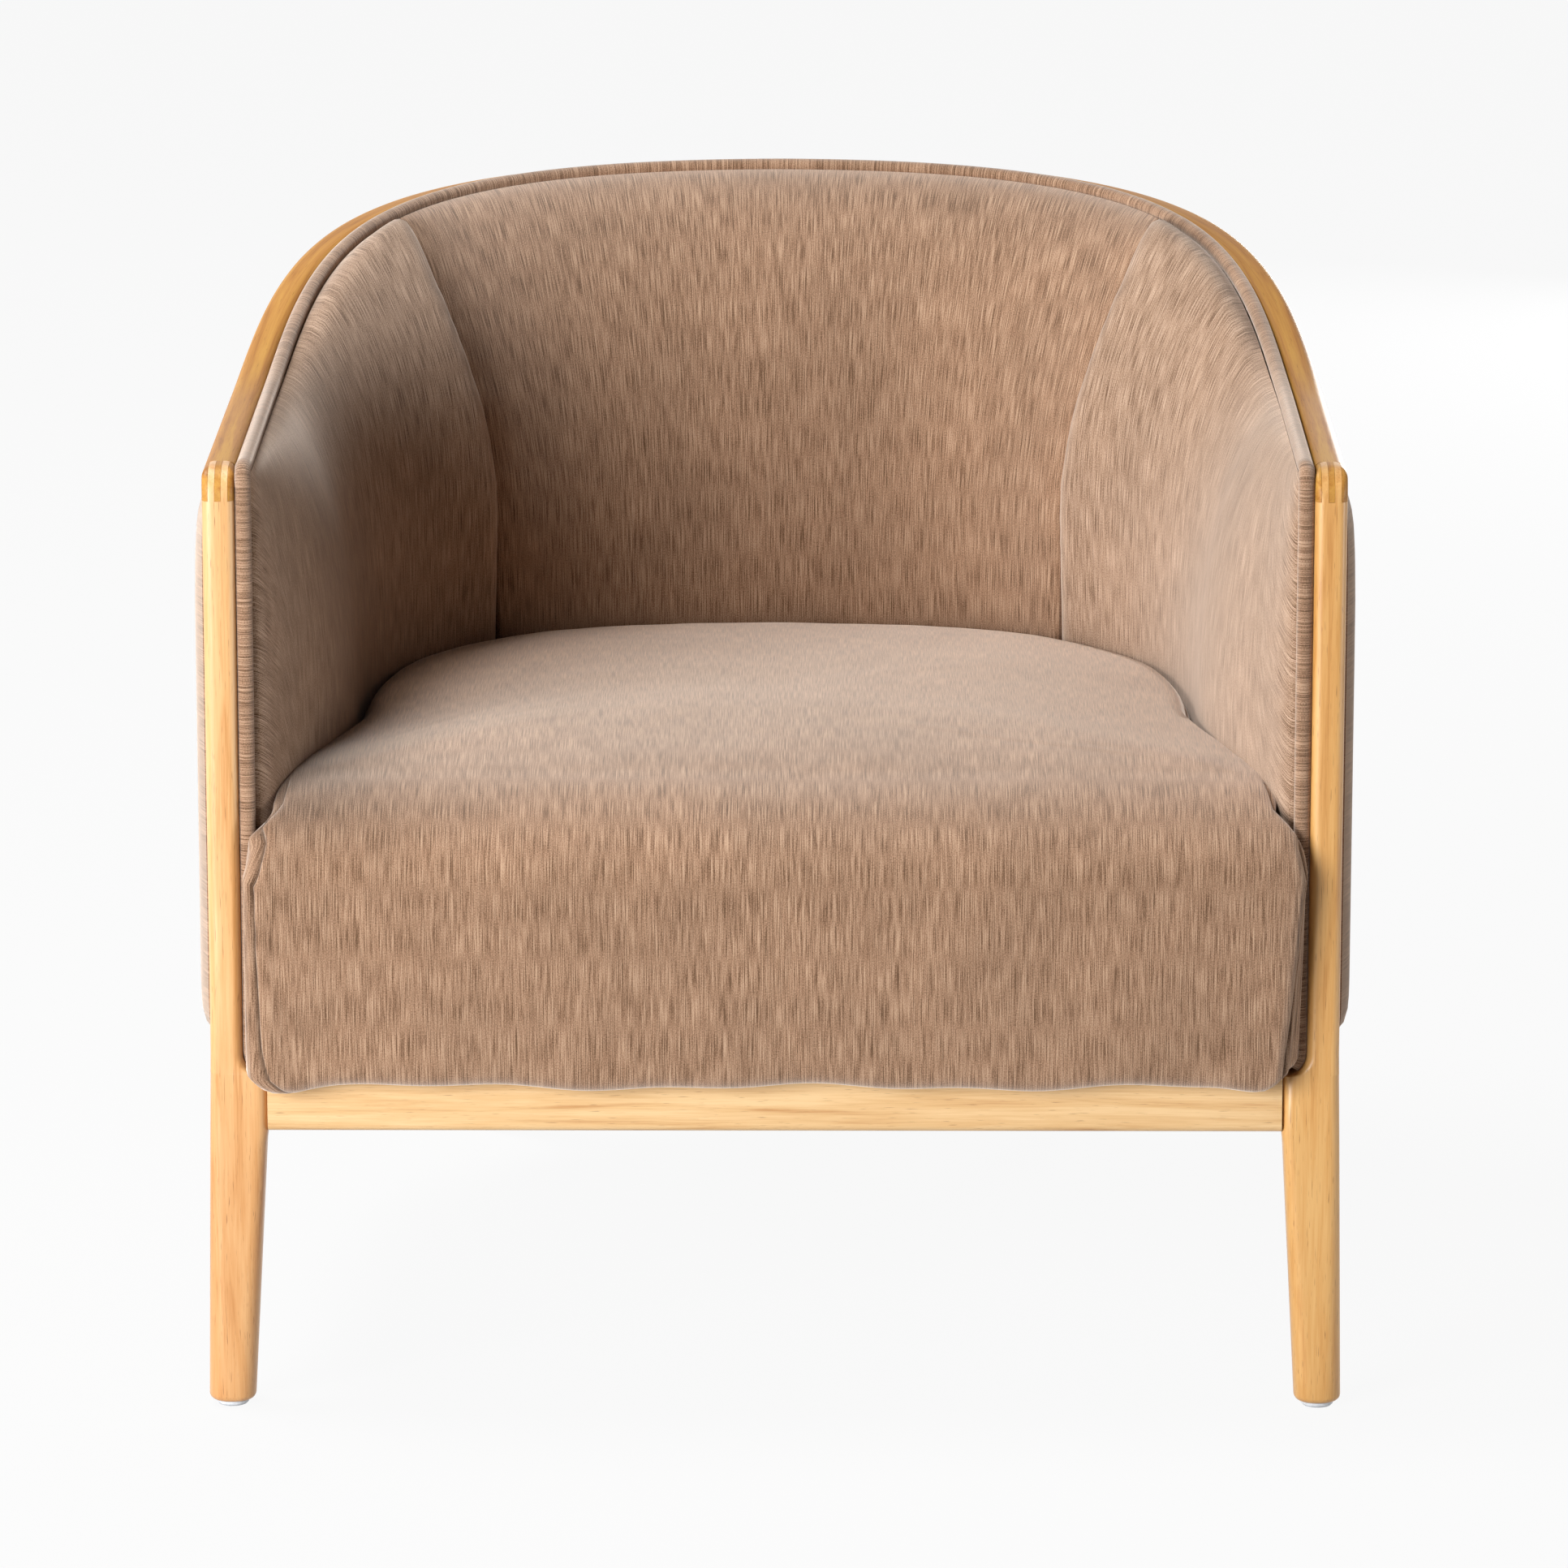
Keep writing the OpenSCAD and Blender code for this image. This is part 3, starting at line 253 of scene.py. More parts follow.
# %% [markdown]
# ## Arm rails and crest
# The rail over each arm is bent wood and meets the crest in a butt joint behind the arm. Its section is a
# rounded square, and its grain follows the bend.

# %% Rails of the hoop
RAIL_W, RAIL_H, EDGE_R, JOINT_U = 20.0, 20.0, 6.0, 1 + 9 / 14
show_wood = []


def rail(name, a, b):
    return strip(name, a, b, 6, lambda u: rounded(0, RAIL_W, rim(u) - RAIL_H, rim(u), EDGE_R),
                 rounded(0, RAIL_W, -RAIL_H, 0, EDGE_R))


print("the arm rail meets the crest at u", round(JOINT_U, 3))

# %% [markdown]
# ## Front legs
# One piece of timber is one stack of level outlines: a nearly round foot, a wide head where the rail joins,
# a hollow fillet and a slim square post, rounded over at the top. The post and the arm rail are locked by a
# finger joint, cut here with a boolean.

# %% Leg outlines
FOOT_W, FOOT_R, FOOT_BACK, FOOT_Z = 29.0, 12.0, 1.0, 3.0
FOOT_EDGE = ((0, 3.4), (0.3, 2.5), (0.9, 1.6), (1.8, 0.8), (3, 0.2), (4, 0))
HEAD_W, HEAD_R, FLARE, FILLET, CORNER_R = 35.0, 7.0, 4.5, 13.0, 18.0
RAIL_LOW, HEAD_TOP, POST_D, POST_IN = 179.0, 216.0, 28.0, HALF_W - RAIL_W
FILLET_TOP = HEAD_TOP + FILLET
HEAD_START = RAIL_LOW - 8
POST_DOWN = (330, 230, 130, 60, 30, 18, 15, 12.6, 10, 8, 6, 4.5, 3.2, 2, 1, 0.4, 0)


def leg_x1(z):
    """Outer side of the leg, which flares out a little towards the floor."""
    return HALF_W + FLARE * max(0, (FILLET_TOP - z) / (FILLET_TOP - FOOT_Z))


def foot_slab(z, shrink):
    """Outline between foot and head, drawn in by shrink where the foot is rounded under."""
    t = (z - FOOT_Z) / (HEAD_START - FOOT_Z)
    w, x1, y0 = FOOT_W + (HEAD_W - FOOT_W) * t, leg_x1(z), FOOT_BACK * (1 - t)
    r = FOOT_R - (FOOT_R - HEAD_R) * t - shrink / 2
    return slab(x1 - w + shrink, x1 - shrink, y0 + shrink, POST_D - y0 - shrink, z, r)


def drawn_in(r, down):
    """How far a quarter round of radius r has come in at a distance down from its top."""
    return r - math.sqrt(r ** 2 - (r - down) ** 2) if down < r else 0


def post_slab(down):
    """Outline of the post at a distance down from its top, which is rounded over."""
    front, side = drawn_in(CORNER_R, down), drawn_in(EDGE_R, down)
    sharper = 0.35 + 0.65 * down / CORNER_R if down < CORNER_R else 1
    r = EDGE_R * (1 - 0.75 * side / EDGE_R) * sharper
    return slab(POST_IN + side, HALF_W - side, front, POST_D, ARM_H - down, r)


def front_leg_rings():
    rings = [foot_slab(FOOT_Z + rise, shrink) for rise, shrink in FOOT_EDGE]
    rings += [foot_slab(z, 0) for z in np.linspace(20, HEAD_START, 8)]
    rings += [slab(HALF_W - HEAD_W, leg_x1(z), 0, POST_D, z, HEAD_R) for z in (RAIL_LOW, HEAD_TOP - 1)]
    for a in range(6, 91, 7):
        z = HEAD_TOP + FILLET * (1 - math.cos(math.radians(a)))
        hollow = FILLET * (1 - math.sin(math.radians(a)))
        rings.append(slab(POST_IN - hollow, leg_x1(z), 0, POST_D, z, EDGE_R))
    return rings + [post_slab(down) for down in POST_DOWN]


def mirrored(rings, side):
    return [[(side * x, y, z) for x, y, z in ring] for ring in rings]


print("outlines in a front leg:", len(front_leg_rings()))

# %% Finger joint
FINGERS = 5
FINGER_W = RAIL_W / FINGERS


def finger_boxes(side, play):
    """Boxes (x0, x1, y0, y1, z0, z1) of the arm rail's fingers, reaching past the post on the outside."""
    boxes = []
    for i in range(0, FINGERS, 2):
        x0 = POST_IN + FINGER_W * i - (2 if i == 0 else 0) + play
        x1 = POST_IN + FINGER_W * (i + 1) + (2 if i == FINGERS - 1 else 0) - play
        boxes.append((*sorted((side * x0, side * x1)), -3, POST_D + 3, ARM_H - RAIL_H + play, ARM_H + 3))
    return boxes


def cut(target, boxes, how):
    """Boolean of target with boxes in millimetres, applied to its mesh."""
    points, faces = [], []
    for x0, x1, y0, y1, z0, z1 in boxes:
        base = len(points)
        points += [(x, y, z) for x in (x0, x1) for y in (y0, y1) for z in (z0, z1)]
        faces += [tuple(base + k for k in f) for f in
                  ((0, 1, 3, 2), (4, 6, 7, 5), (0, 4, 5, 1), (2, 3, 7, 6), (0, 2, 6, 4), (1, 5, 7, 3))]
    tool = mesh_piece("tool", points, faces)
    modifier = target.modifiers.new("cut", "BOOLEAN")
    modifier.operation = how
    modifier.object = tool
    modifier.solver = "EXACT"
    graph = bpy.context.evaluated_depsgraph_get()
    mesh = bpy.data.meshes.new_from_object(target.evaluated_get(graph))
    target.modifiers.clear()
    target.data = mesh
    mesh.set_sharp_from_angle(angle=math.radians(30))
    bpy.data.objects.remove(tool)


def join(name, parts):
    """Join pieces of the same material into one object."""
    with bpy.context.temp_override(active_object=parts[0], selected_editable_objects=parts, object=parts[0]):
        bpy.ops.object.join()
    parts[0].name = name
    return parts[0]


print("fingers on each side:", len(finger_boxes(1, 0)))

# %% Front legs, arm rails and crest
ARM_U = POST_D / STRAIGHT
SIDES = ((-1, "left"), (1, "right"))
for side, word in SIDES:
    rings = mirrored(front_leg_rings(), side)
    leg = sweep("front_leg_finish_" + word, rings, sharp=35)
    fingers = sweep("fingers_" + word, rings, sharp=35)
    cut(leg, finger_boxes(side, 0), "DIFFERENCE")
    cut(fingers, finger_boxes(side, 0.12), "INTERSECT")
    set_run(leg, lambda x, y, z: (x, y, z))
    set_run(fingers, lambda x, y, z: (x, z, -y))
    arm = rail("rail_" + word, ARM_U, JOINT_U) if side > 0 else rail("rail_" + word, 4 - ARM_U, 4 - JOINT_U)
    arm = join("arm_rail_finish_" + word, [arm, fingers])
    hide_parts("front_leg_" + word)
    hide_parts("arm_rail_" + word)
    show_wood += [(leg, "leg"), (arm, "arm")]
crest = rail("crest_rail_finish", JOINT_U, 4 - JOINT_U)
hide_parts("crest_rail")
show_wood.append((crest, "arm"))
print("timber pieces so far:", [o.name for o, _ in show_wood])

# %% [markdown]
# ## Rear legs and seat rails
# The rear legs are raked back and splayed. Their heads fill the corners between the side rails and the back
# rail. These rails follow the same curve as the hoop and run a little way into the heads, so no joint opens.

# %% Rear legs
REAR_U, REAR_HEAD, RAKE, SPLAY, RAIL_INSET, SHELL_LOW = 1.6115, 34.0, 50.0, 14.0, 4.0, 234.0
rear_n = inward(REAR_U)
rear_mid = plan(REAR_U) + rear_n * (RAIL_INSET + REAR_HEAD / 2)
rear_turn = math.atan2(rear_n[1], rear_n[0]) - math.pi / 2


def rear_slab(z, t, w, r):
    """Square outline turned with the hoop, moved out by t: 0 at the rail and 1 at the foot."""
    c, s = math.cos(rear_turn), math.sin(rear_turn)
    return [(rear_mid[0] + x * c - y * s + SPLAY * t, rear_mid[1] + x * s + y * c + RAKE * t, z)
            for x, y, z in slab(-w / 2, w / 2, -w / 2, w / 2, z, r)]


def rear_leg_rings():
    span = RAIL_LOW - FOOT_Z
    rings = [rear_slab(FOOT_Z + rise, 1 - rise / span, FOOT_W - 2 * shrink, FOOT_R - shrink)
             for rise, shrink in FOOT_EDGE]
    for t in (0.9, 0.75, 0.6, 0.45, 0.3, 0.15):
        width, r = REAR_HEAD - (REAR_HEAD - FOOT_W) * t, HEAD_R + (FOOT_R - HEAD_R) * t
        rings.append(rear_slab(RAIL_LOW - t * span, t, width, r))
    return rings + [rear_slab(z, 0, REAR_HEAD, HEAD_R) for z in (RAIL_LOW, SHELL_LOW)]


for side, word in SIDES:
    rear = sweep("rear_leg_finish_" + word, mirrored(rear_leg_rings(), side), sharp=35)
    set_run(rear, lambda x, y, z: (x, y, z))
    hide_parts("rear_leg_" + word)
    show_wood.append((rear, "leg"))
print("rear leg heads at x, y", [round(float(v), 1) for v in rear_mid])

# %% Seat rails
SIDE_RAIL_T, RAIL_EASE = 22.0, 1.5
mm_per_u = float(np.linalg.norm(plan(REAR_U + 0.01) - plan(REAR_U - 0.01))) / 0.02
head_u = (REAR_HEAD / 2 - 0.6) / mm_per_u
rail_section = rounded(RAIL_INSET, RAIL_INSET + SIDE_RAIL_T, RAIL_LOW, SHELL_LOW, RAIL_EASE, 3)
for name, node, a, b in (("side_rail_finish_right", "side_rail_right", ARM_U, REAR_U - head_u),
                         ("side_rail_finish_left", "side_rail_left", 4 - ARM_U, 4 - REAR_U + head_u),
                         ("back_rail_finish", "back_rail", REAR_U + head_u, 4 - REAR_U - head_u)):
    seat_rail = strip(name, a, b, 8, lambda u: rail_section, rail_section)
    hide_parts(node)
    show_wood.append((seat_rail, "rail"))
print("timber pieces:", len(show_wood))

# %% [markdown]
# ## Inside pads
# The pads are foam with a tight cover. Each rolls over from the welt, slopes to the seat and is drawn in at
# the sewn seam between arm and back. The cloth is stretched, so the small puckers at the seam are set by
# code and not simulated.

# %% Section of a pad
WELT_SIDE, BOARD_FACE, SOFT_GAP, SOFT_LOW = 30.3, 26.9, 0.4, 220.5
UPRIGHT_TOP, LEAN_START = 306, 392
LEAN_POWER, ROLL_POWER = 1.24, 0.909


def set_in(u, depth):
    """Distance along the slanting section that lies depth mm inside the hoop."""
    square = float(toward(u) @ inward(u))
    return depth / square + 11.5 * (1 - square)


def rim_beside(u, t):
    """Height of the rim beside a point t mm along the section."""
    d = along_plan(u)
    return rim(u) + t * (rim(u + NUDGE) - rim(u - NUDGE)) * float(toward(u) @ d) / float(d @ d)


def pad_profile(u, count):
    """Points [distance inward, height] from the seat up to the welt."""
    t = set_in(u, WELT_SIDE)
    full = float(np.linalg.norm(inside(u) - plan(u)))
    top = rim_beside(u, t) - 2.5
    pts = [(full, SOFT_LOW), (full, UPRIGHT_TOP)]
    for a in np.radians(np.linspace(0, 90, 61)):
        lean, roll = max(0, math.cos(a)) ** LEAN_POWER, math.sin(a) ** ROLL_POWER
        pts.append((t + (full - t) * lean, LEAN_START + (top - LEAN_START) * roll))
    return resampled(pts, count)


def laid_toward(u, section):
    p, n = plan(u), toward(u)
    return np.array([(p[0] + n[0] * q[0], p[1] + n[1] * q[0], q[1]) for q in section])


def section_points(u, count, draw):
    """A closed section whose face is drawn in by draw(height, share of its length, length)."""
    prof = pad_profile(u, count)
    up = travelled(prof)
    slope = np.gradient(prof, axis=0)
    normal = np.column_stack([slope[:, 1], -slope[:, 0]]) / np.linalg.norm(slope, axis=1)[:, None]
    depth = np.array([draw(z, length / up[-1], length) * min(1, (up[-1] - length) / 12)
                      for z, length in zip(prof[:, 1], up)])
    back = set_in(u, BOARD_FACE + SOFT_GAP)
    low_back = [(back, rim_beside(u, back) - 9), (back, 420), (back, SOFT_LOW)]
    face = [tuple(q) for q in prof - normal * depth[:, None]]
    return laid_toward(u, face + low_back), np.append(up, [up[-1] + 20] * 3)


print("height of the pad's roll over the arms:", round(float(pad_profile(0.5, 64)[-1][1]), 1))

# %% Sweep of a pad
SEAM_HIGH, SEAM_LEAN = -0.008, 0.045
LEAN_REACH, FAN_REACH, SWELL_REACH = 190, 85, 105
SWELL_Z, SWELL_H = 565, 112
PAD_POINTS, PAD_STEP = 64, 7


def smooth(t):
    """From 0 to 1 with level ends."""
    t = min(1, max(0, t))
    return t * t * (3 - 2 * t)


def pad(name, a, b, ends):
    """A pad from u = a to u = b. Each end has the depth and reach of its drawing in, how far the pad stands
    out before it, whether it leans with the seam, which low down is nearer the middle of the back, and
    which way its threads fan out."""
    us = places(a, b, PAD_STEP)
    along = travelled([inside(u) for u in us])
    extra = [1, 2.5, 4.5]
    marks = sorted(set([round(v, 3) for v in along] + extra + [along[-1] - e for e in extra]))
    rings, run = [], []
    for u, s in zip(np.interp(marks, along, us), marks):
        reaches = [max(0.0, e) for e in (s, along[-1] - s)]

        def draw(z, share, length):
            middle, total = math.exp(-((z - SWELL_Z) / SWELL_H) ** 2), 0
            for end, e in zip(ends, reaches):
                total -= end["out"] * middle * math.exp(-(e / SWELL_REACH) ** 2)
                if e < end["reach"]:
                    total += end["depth"] * (1 - math.sqrt(max(0, 1 - (1 - e / end["reach"]) ** 2)))
                pucker = math.exp(-e / 22) * math.sin(length * 0.21 + 3 * math.sin(length * 0.05))
                total += 0.9 * pucker * min(1, max(0, (share - 0.35) * 3))
            return total

        lean = sum(smooth(1 - e / LEAN_REACH) for end, e in zip(ends, reaches) if end["leans"])
        way = 1 if u < 2 else -1
        high, up = section_points(u + way * SEAM_HIGH * lean, PAD_POINTS, draw)
        low, _ = section_points(u + way * (SEAM_HIGH + SEAM_LEAN) * lean, PAD_POINTS, draw)
        upper = np.array([smooth((z - 470) / 190) for z in high[:, 2]])[:, None]
        rings.append([tuple(q) for q in low * (1 - upper) + high * upper])
        slant = way * math.copysign(1, b - a) * lean * 330
        fan = sum(end["fan"] * smooth(1 - e / FAN_REACH) for end, e in zip(ends, reaches))
        run.append([(s + slant * (SEAM_HIGH + SEAM_LEAN * (1 - f)), length, fan)
                    for f, length in zip(upper[:, 0], up)])
    return sweep(name, rings, run, sharp=60)


print("the seam leans by", SEAM_LEAN, "of u between seat and rim")

# %% Three pads
PAD_U, SEAM_U = 12.3 / STRAIGHT, 1.5
arm_pads = []
for side, word in SIDES:
    ends = (PAD_U, SEAM_U) if side > 0 else (4 - PAD_U, 4 - SEAM_U)
    front_end = {"depth": 5, "reach": 16, "out": 0, "leans": False, "fan": side}
    seam_end = {"depth": 14, "reach": 12, "out": 25, "leans": True, "fan": 0}
    arm_pad = pad("arm_pad_" + word, *ends, (front_end, seam_end))
    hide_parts("arm_foam_" + word, "arm_cover_" + word)
    arm_pads.append(arm_pad)
back_end = {"depth": 4, "reach": 26, "out": 2, "leans": True, "fan": 0}
back_pad = pad("back_pad", SEAM_U, 4 - SEAM_U, (back_end, back_end))
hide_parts("back_foam", "back_cover")
print("pads:", [(o.name, len(o.data.polygons)) for o in arm_pads + [back_pad]])

# %% [markdown]
# ## Welt
# A cord covered with the same cloth fills the joint between wood and padding. It climbs one post, runs under
# the rim and comes down the other post. The cloth is cut across, so its threads go round the cord.

# %% Welt
WELT_R, WELT_X, WELT_Y, WELT_BEND, WELT_IN = 5.0, 324, 7, 8, 25.3
WELT_FOOT, WELT_BEND_Z = 229.5, 588


def welt_path():
    """Up the right post, under the rim and down the left post; its feet curl in behind the cushion."""
    half = [(WELT_X - 3.5 * ((WELT_FOOT - z) / 9) ** 2, WELT_Y, z)
            for z in np.arange(SOFT_LOW, WELT_FOOT, 1.5)]
    half += [(WELT_X, WELT_Y, z) for z in np.linspace(WELT_FOOT, WELT_BEND_Z - 2, 60)]
    for a in np.radians(np.arange(5, 90, 8)):
        half.append((WELT_X, WELT_Y + WELT_BEND * (1 - math.cos(a)), WELT_BEND_Z + WELT_BEND * math.sin(a)))
    for u in places(17 / STRAIGHT, 2, 6):
        p = plan(u) + inward(u) * WELT_IN
        half.append((p[0], p[1], rim(u) - 1))
    return half + [(-x, y, z) for x, y, z in half[-2::-1]]


def tube(name, path, radius, sides=20):
    """A round cord along a path. Its run is the distance along it and round it."""
    pts = np.array(path, float)
    normal = np.array([0, -1.0, 0.2])
    rings, run = [], []
    for i, (p, s) in enumerate(zip(pts, travelled(pts))):
        t = pts[min(i + 1, len(pts) - 1)] - pts[max(i - 1, 0)]
        t /= np.linalg.norm(t)
        normal = normal - t * (normal @ t)
        normal /= np.linalg.norm(normal)
        other = np.cross(t, normal)
        angles = [2 * math.pi * j / sides for j in range(sides)]
        rings.append([tuple(p + radius * (math.cos(a) * normal + math.sin(a) * other)) for a in angles])
        run.append([(s, radius * abs(a - math.pi), 0) for a in angles])
    return sweep(name, rings, run, sharp=60)


welt = tube("welt_cord", resampled(welt_path(), 460), WELT_R)
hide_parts("welt")
print("length of the welt in mm:", round(float(travelled(welt_path())[-1])))

# %% [markdown]
# ## Outer cover
# A lightly padded cover over board closes the outside. It bulges a little, is drawn in along its edges and
# ends just above the seat rails. Its threads run round the chair.

# %% Outer cover
COVER_OUT, COVER_IN, COVER_GAP = 8.8, 2.7, 0.3
COVER_TOP = ((-0.35, 5), (-0.62, 13), (-0.8, 24), (-0.92, 42), (-0.99, 70), (-1, 110))
COVER_FOOT = ((-1, 60), (-1, 30), (-0.97, 18), (-0.87, 9), (-0.6, 3.5), (-0.3, 1))


def cover_profile(top, low, out):
    """Outside of the cover from its top edge down, standing out of the hoop by out at most."""
    pts = [(-0.1, top)] + [(share * out, top - down) for share, down in COVER_TOP]
    return resampled(pts + [(share * out, low + up) for share, up in COVER_FOOT] + [(0.8, low)], 44)


def fullness(u):
    """Share of the full bulge, less beside the posts."""
    y = STRAIGHT * (u if u <= 2 else 4 - u) - POST_D
    return 1 if y > 26 else 0.25 + 0.75 * math.sin(max(0, y) / 26 * math.pi / 2)


def outer_cover():
    start = (POST_D + COVER_GAP) / STRAIGHT
    beside = [start + d / STRAIGHT for d in (3, 6, 13, 20)]
    us = sorted(set(places(start, 4 - start, 9) + beside + [4 - u for u in beside]))
    rings, run = [], []
    for u, along in zip(us, travelled([plan(u) for u in us])):
        top, low = rim(u) - RAIL_H - COVER_GAP, SHELL_LOW + COVER_GAP
        outside = [tuple(q) for q in cover_profile(top, low, COVER_OUT * fullness(u))]
        section = outside + [(COVER_IN, low + 1), (COVER_IN, top)]
        rings.append(laid(u, section))
        run.append([(q[1], along, 0) for q in section])
    return sweep("outer_cover_cloth", rings, run, sharp=60)


cover = outer_cover()
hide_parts("outer_cover")
print("cover faces:", len(cover.data.polygons))

# %% [markdown]
# ## Seat cushion
# The loose cushion is cut to the inside of the pads. One panel covers the top and rolls over the long, flat
# nose to the front. A boxing strip closes the sides and back; its drawn-in seam comes round the front
# corners and ends under the nose. The cushion is thicker in the middle, swells in front of the posts and
# hangs about a centimetre over the rail in soft waves. Seams and foam give it that form, so it is built ring
# by ring.

# %% Outline of the cushion
FRONT_R, SIDE_Y, SIDE_GAP, BACK_GAP, CORNER_FROM = 14.0, 14.0, 2, 4, 3.0
FRONT_HALF = float(inside(SIDE_Y / STRAIGHT)[0])
OUT_DEPTH = BACK_Y - BACK_GAP + NOSE
CUSHION_MID = (BACK_Y - NOSE) / 2


def cushion_outline(count):
    """Round the back along the pads, then across the front."""
    pts = []
    for u in places(SIDE_Y / STRAIGHT, 4 - SIDE_Y / STRAIGHT, 5):
        f = u if u <= 2 else 4 - u
        gap = SIDE_GAP + (BACK_GAP - SIDE_GAP) * min(1, max(0, (f - 1.4) / 0.3))
        pts.append(inside(u) + toward(u) * gap)
    corner = [(FRONT_HALF, CORNER_FROM)]
    for a in np.radians(np.arange(0, 91, 10)):
        corner.append((FRONT_HALF - FRONT_R + FRONT_R * math.cos(a), FRONT_R - NOSE - FRONT_R * math.sin(a)))
    pts += [np.array([-x, y]) for x, y in corner] + [np.array([x, y]) for x, y in corner[::-1]]
    return resampled(pts, count, closed=True)


def seamed_outline():
    """The outline, finer at the front corners, and how far each point lies round its corner in mm."""
    even = cushion_outline(460)
    pts, turned = [], []
    for i, p in enumerate(even):
        corner = abs(p[0]) > FRONT_HALF - 26 and p[1] < 2
        for t in (np.arange(6) / 6 if corner else (0,)):
            pts.append(p + (even[(i + 1) % len(even)] - p) * t)
    arc_from = CORNER_FROM - FRONT_R + NOSE
    for x, y in pts:
        if y > FRONT_R - NOSE:
            turned.append(CORNER_FROM - y)
        elif abs(x) > FRONT_HALF - FRONT_R:
            turned.append(arc_from + FRONT_R * math.atan2(FRONT_R - NOSE - y, abs(x) - FRONT_HALF + FRONT_R))
        else:
            turned.append(arc_from + FRONT_R * math.pi / 2 + FRONT_HALF - FRONT_R - abs(x))
    return np.array(pts), turned


def boxing_run(outline):
    """Distance along the boxing strip, without a jump beside the right front corner."""
    around = travelled(np.vstack([outline, outline[:1]]))
    last_side = (outline[:, 0] > 0) & (outline[:, 1] < SIDE_Y)
    return np.where(last_side, around[:-1] - around[-1], around[:-1])


print("cushion", round(2 * FRONT_HALF), "mm wide at the posts and", round(OUT_DEPTH), "mm deep")

# %% Swell of the cushion
SEAT_H, CROWN = 412.0, 14.0
EDGE_TOP = SEAT_H - CROWN
EAR = POST_IN - 4 - FRONT_HALF
SIDE_R, NOSE_R, NOSE_DEEP, UNDER_R, NOSE_REACH = 17.0, 58.0, 100.0, 12.0, 165
LEFT_SWELL = ((200, -14), (214, -10), (226, -2), (245, 10), (265, 15), (295, 16), (313, 13), (331, 8),
              (345, 1), (362, -4), (400, -10))
RIGHT_SWELL = ((200, -16), (216, -13), (229, -8), (243, -8), (258, -5), (277, 0), (294, 4), (320, 5),
               (345, 2), (370, -2), (400, -8))
HANG, LEFT_CORNER_HANG, RIGHT_CORNER_HANG = 9.4, 3.0, 4.2


def at_height(pairs, z):
    """Value at height z from pairs of height and value."""
    return np.interp(z, *zip(*pairs))


def swollen(x, y, z):
    """In front of the posts the cushion swells sideways and hangs over the rail."""
    freed = min(1, max(0, (SIDE_Y - y) / (SIDE_Y + 4)))
    outer = min(1, max(0, (abs(x) - 210) / 90))
    out = EAR * freed + at_height(LEFT_SWELL if x < 0 else RIGHT_SWELL, z) * smooth((-1 - y) / 8)
    corner = (RIGHT_CORNER_HANG if x > 0 else LEFT_CORNER_HANG) * math.exp(-((abs(x) - 296) / 18) ** 2)
    hang = HANG - 1.6 * math.sin(x / 37 + 1) - 1.1 * math.sin(x / 15) + corner
    low = smooth((-1 - y) / 15) * smooth((290 - z) / 70)
    return (x + math.copysign(1, x) * out * outer, y, z - hang * low)


print("swell at z 300:", [round(float(at_height(swell, 300)), 1) for swell in (LEFT_SWELL, RIGHT_SWELL)])

# %% Rings of the cushion
UNDER_SHARES = (0.05, 0.3, 0.6, 0.85, 1)
TOP_SHARES = (0.975, 0.95, 0.92, 0.88, 0.83, 0.77, 0.7, 0.62, 0.54, 0.45, 0.36, 0.27, 0.18, 0.1, 0.03)


def cushion_ring(outline, angle, top):
    """Ring at an angle round the upper or lower edge; in front the upper edge is the long nose."""
    c, s = math.cos(math.radians(angle)), math.sin(math.radians(angle))
    side_in = (SIDE_R if top else UNDER_R) * (1 - c)
    nose_in = (NOSE_DEEP if top else UNDER_R) * (1 - c)
    ring = []
    for x, y in outline:
        share = max(0, 1 - (y + NOSE) / NOSE_REACH)
        r = SIDE_R + (NOSE_R - SIDE_R) * share * share if top else UNDER_R
        z = EDGE_TOP - r + r * s if top else SOFT_LOW + r - r * s
        depth = (y + NOSE) * (OUT_DEPTH - nose_in - side_in) / OUT_DEPTH
        ring.append(swollen(x * (FRONT_HALF - side_in) / FRONT_HALF, nose_in - NOSE + depth, z))
    return ring


def slid(points, share):
    """The same closed ring with its points slid along it towards even distances."""
    pts = np.vstack([points, points[:1]])
    run = travelled(pts)
    marks = run[:-1] * (1 - share) + np.linspace(0, run[-1], len(run))[:-1] * share
    return np.column_stack([np.interp(marks, run, pts[:, k]) for k in range(3)])


def shrunk(ring, k):
    return [(x * k, CUSHION_MID + (y - CUSHION_MID) * k, z) for x, y, z in ring]


def cushion_rings(outline):
    """Rings from the middle below to the middle of the crown, and how many lie below the upper edge."""
    rings = [shrunk(slid(cushion_ring(outline, 90, False), 1 - k), k) for k in UNDER_SHARES]
    rings += [cushion_ring(outline, a, False) for a in range(78, -1, -12)]
    low, high = np.array(rings[-1]), np.array(cushion_ring(outline, 0, True))
    rings += [[tuple(p) for p in low + (high - low) * k] for k in np.linspace(0, 1, 20)[1:-1]]
    side_count = len(rings)
    rings += [cushion_ring(outline, a, True) for a in range(0, 76, 5)]
    edge = rings[-1]
    level = np.mean([p[2] for p in edge])
    for k in TOP_SHARES:
        rings.append([(x, y, level + (z - level) * k * k + CROWN * (1 - k ** 3))
                      for x, y, z in shrunk(slid(edge, smooth(1.6 - 1.6 * k)), k)])
    return rings, side_count


print("rings over the crown:", len(TOP_SHARES))

# %% Threads over the nose
arc_angles = np.radians(np.arange(0, 91, 3))
arc_lengths = travelled([(math.cos(a) * NOSE_DEEP, math.sin(a) * NOSE_R) for a in arc_angles])


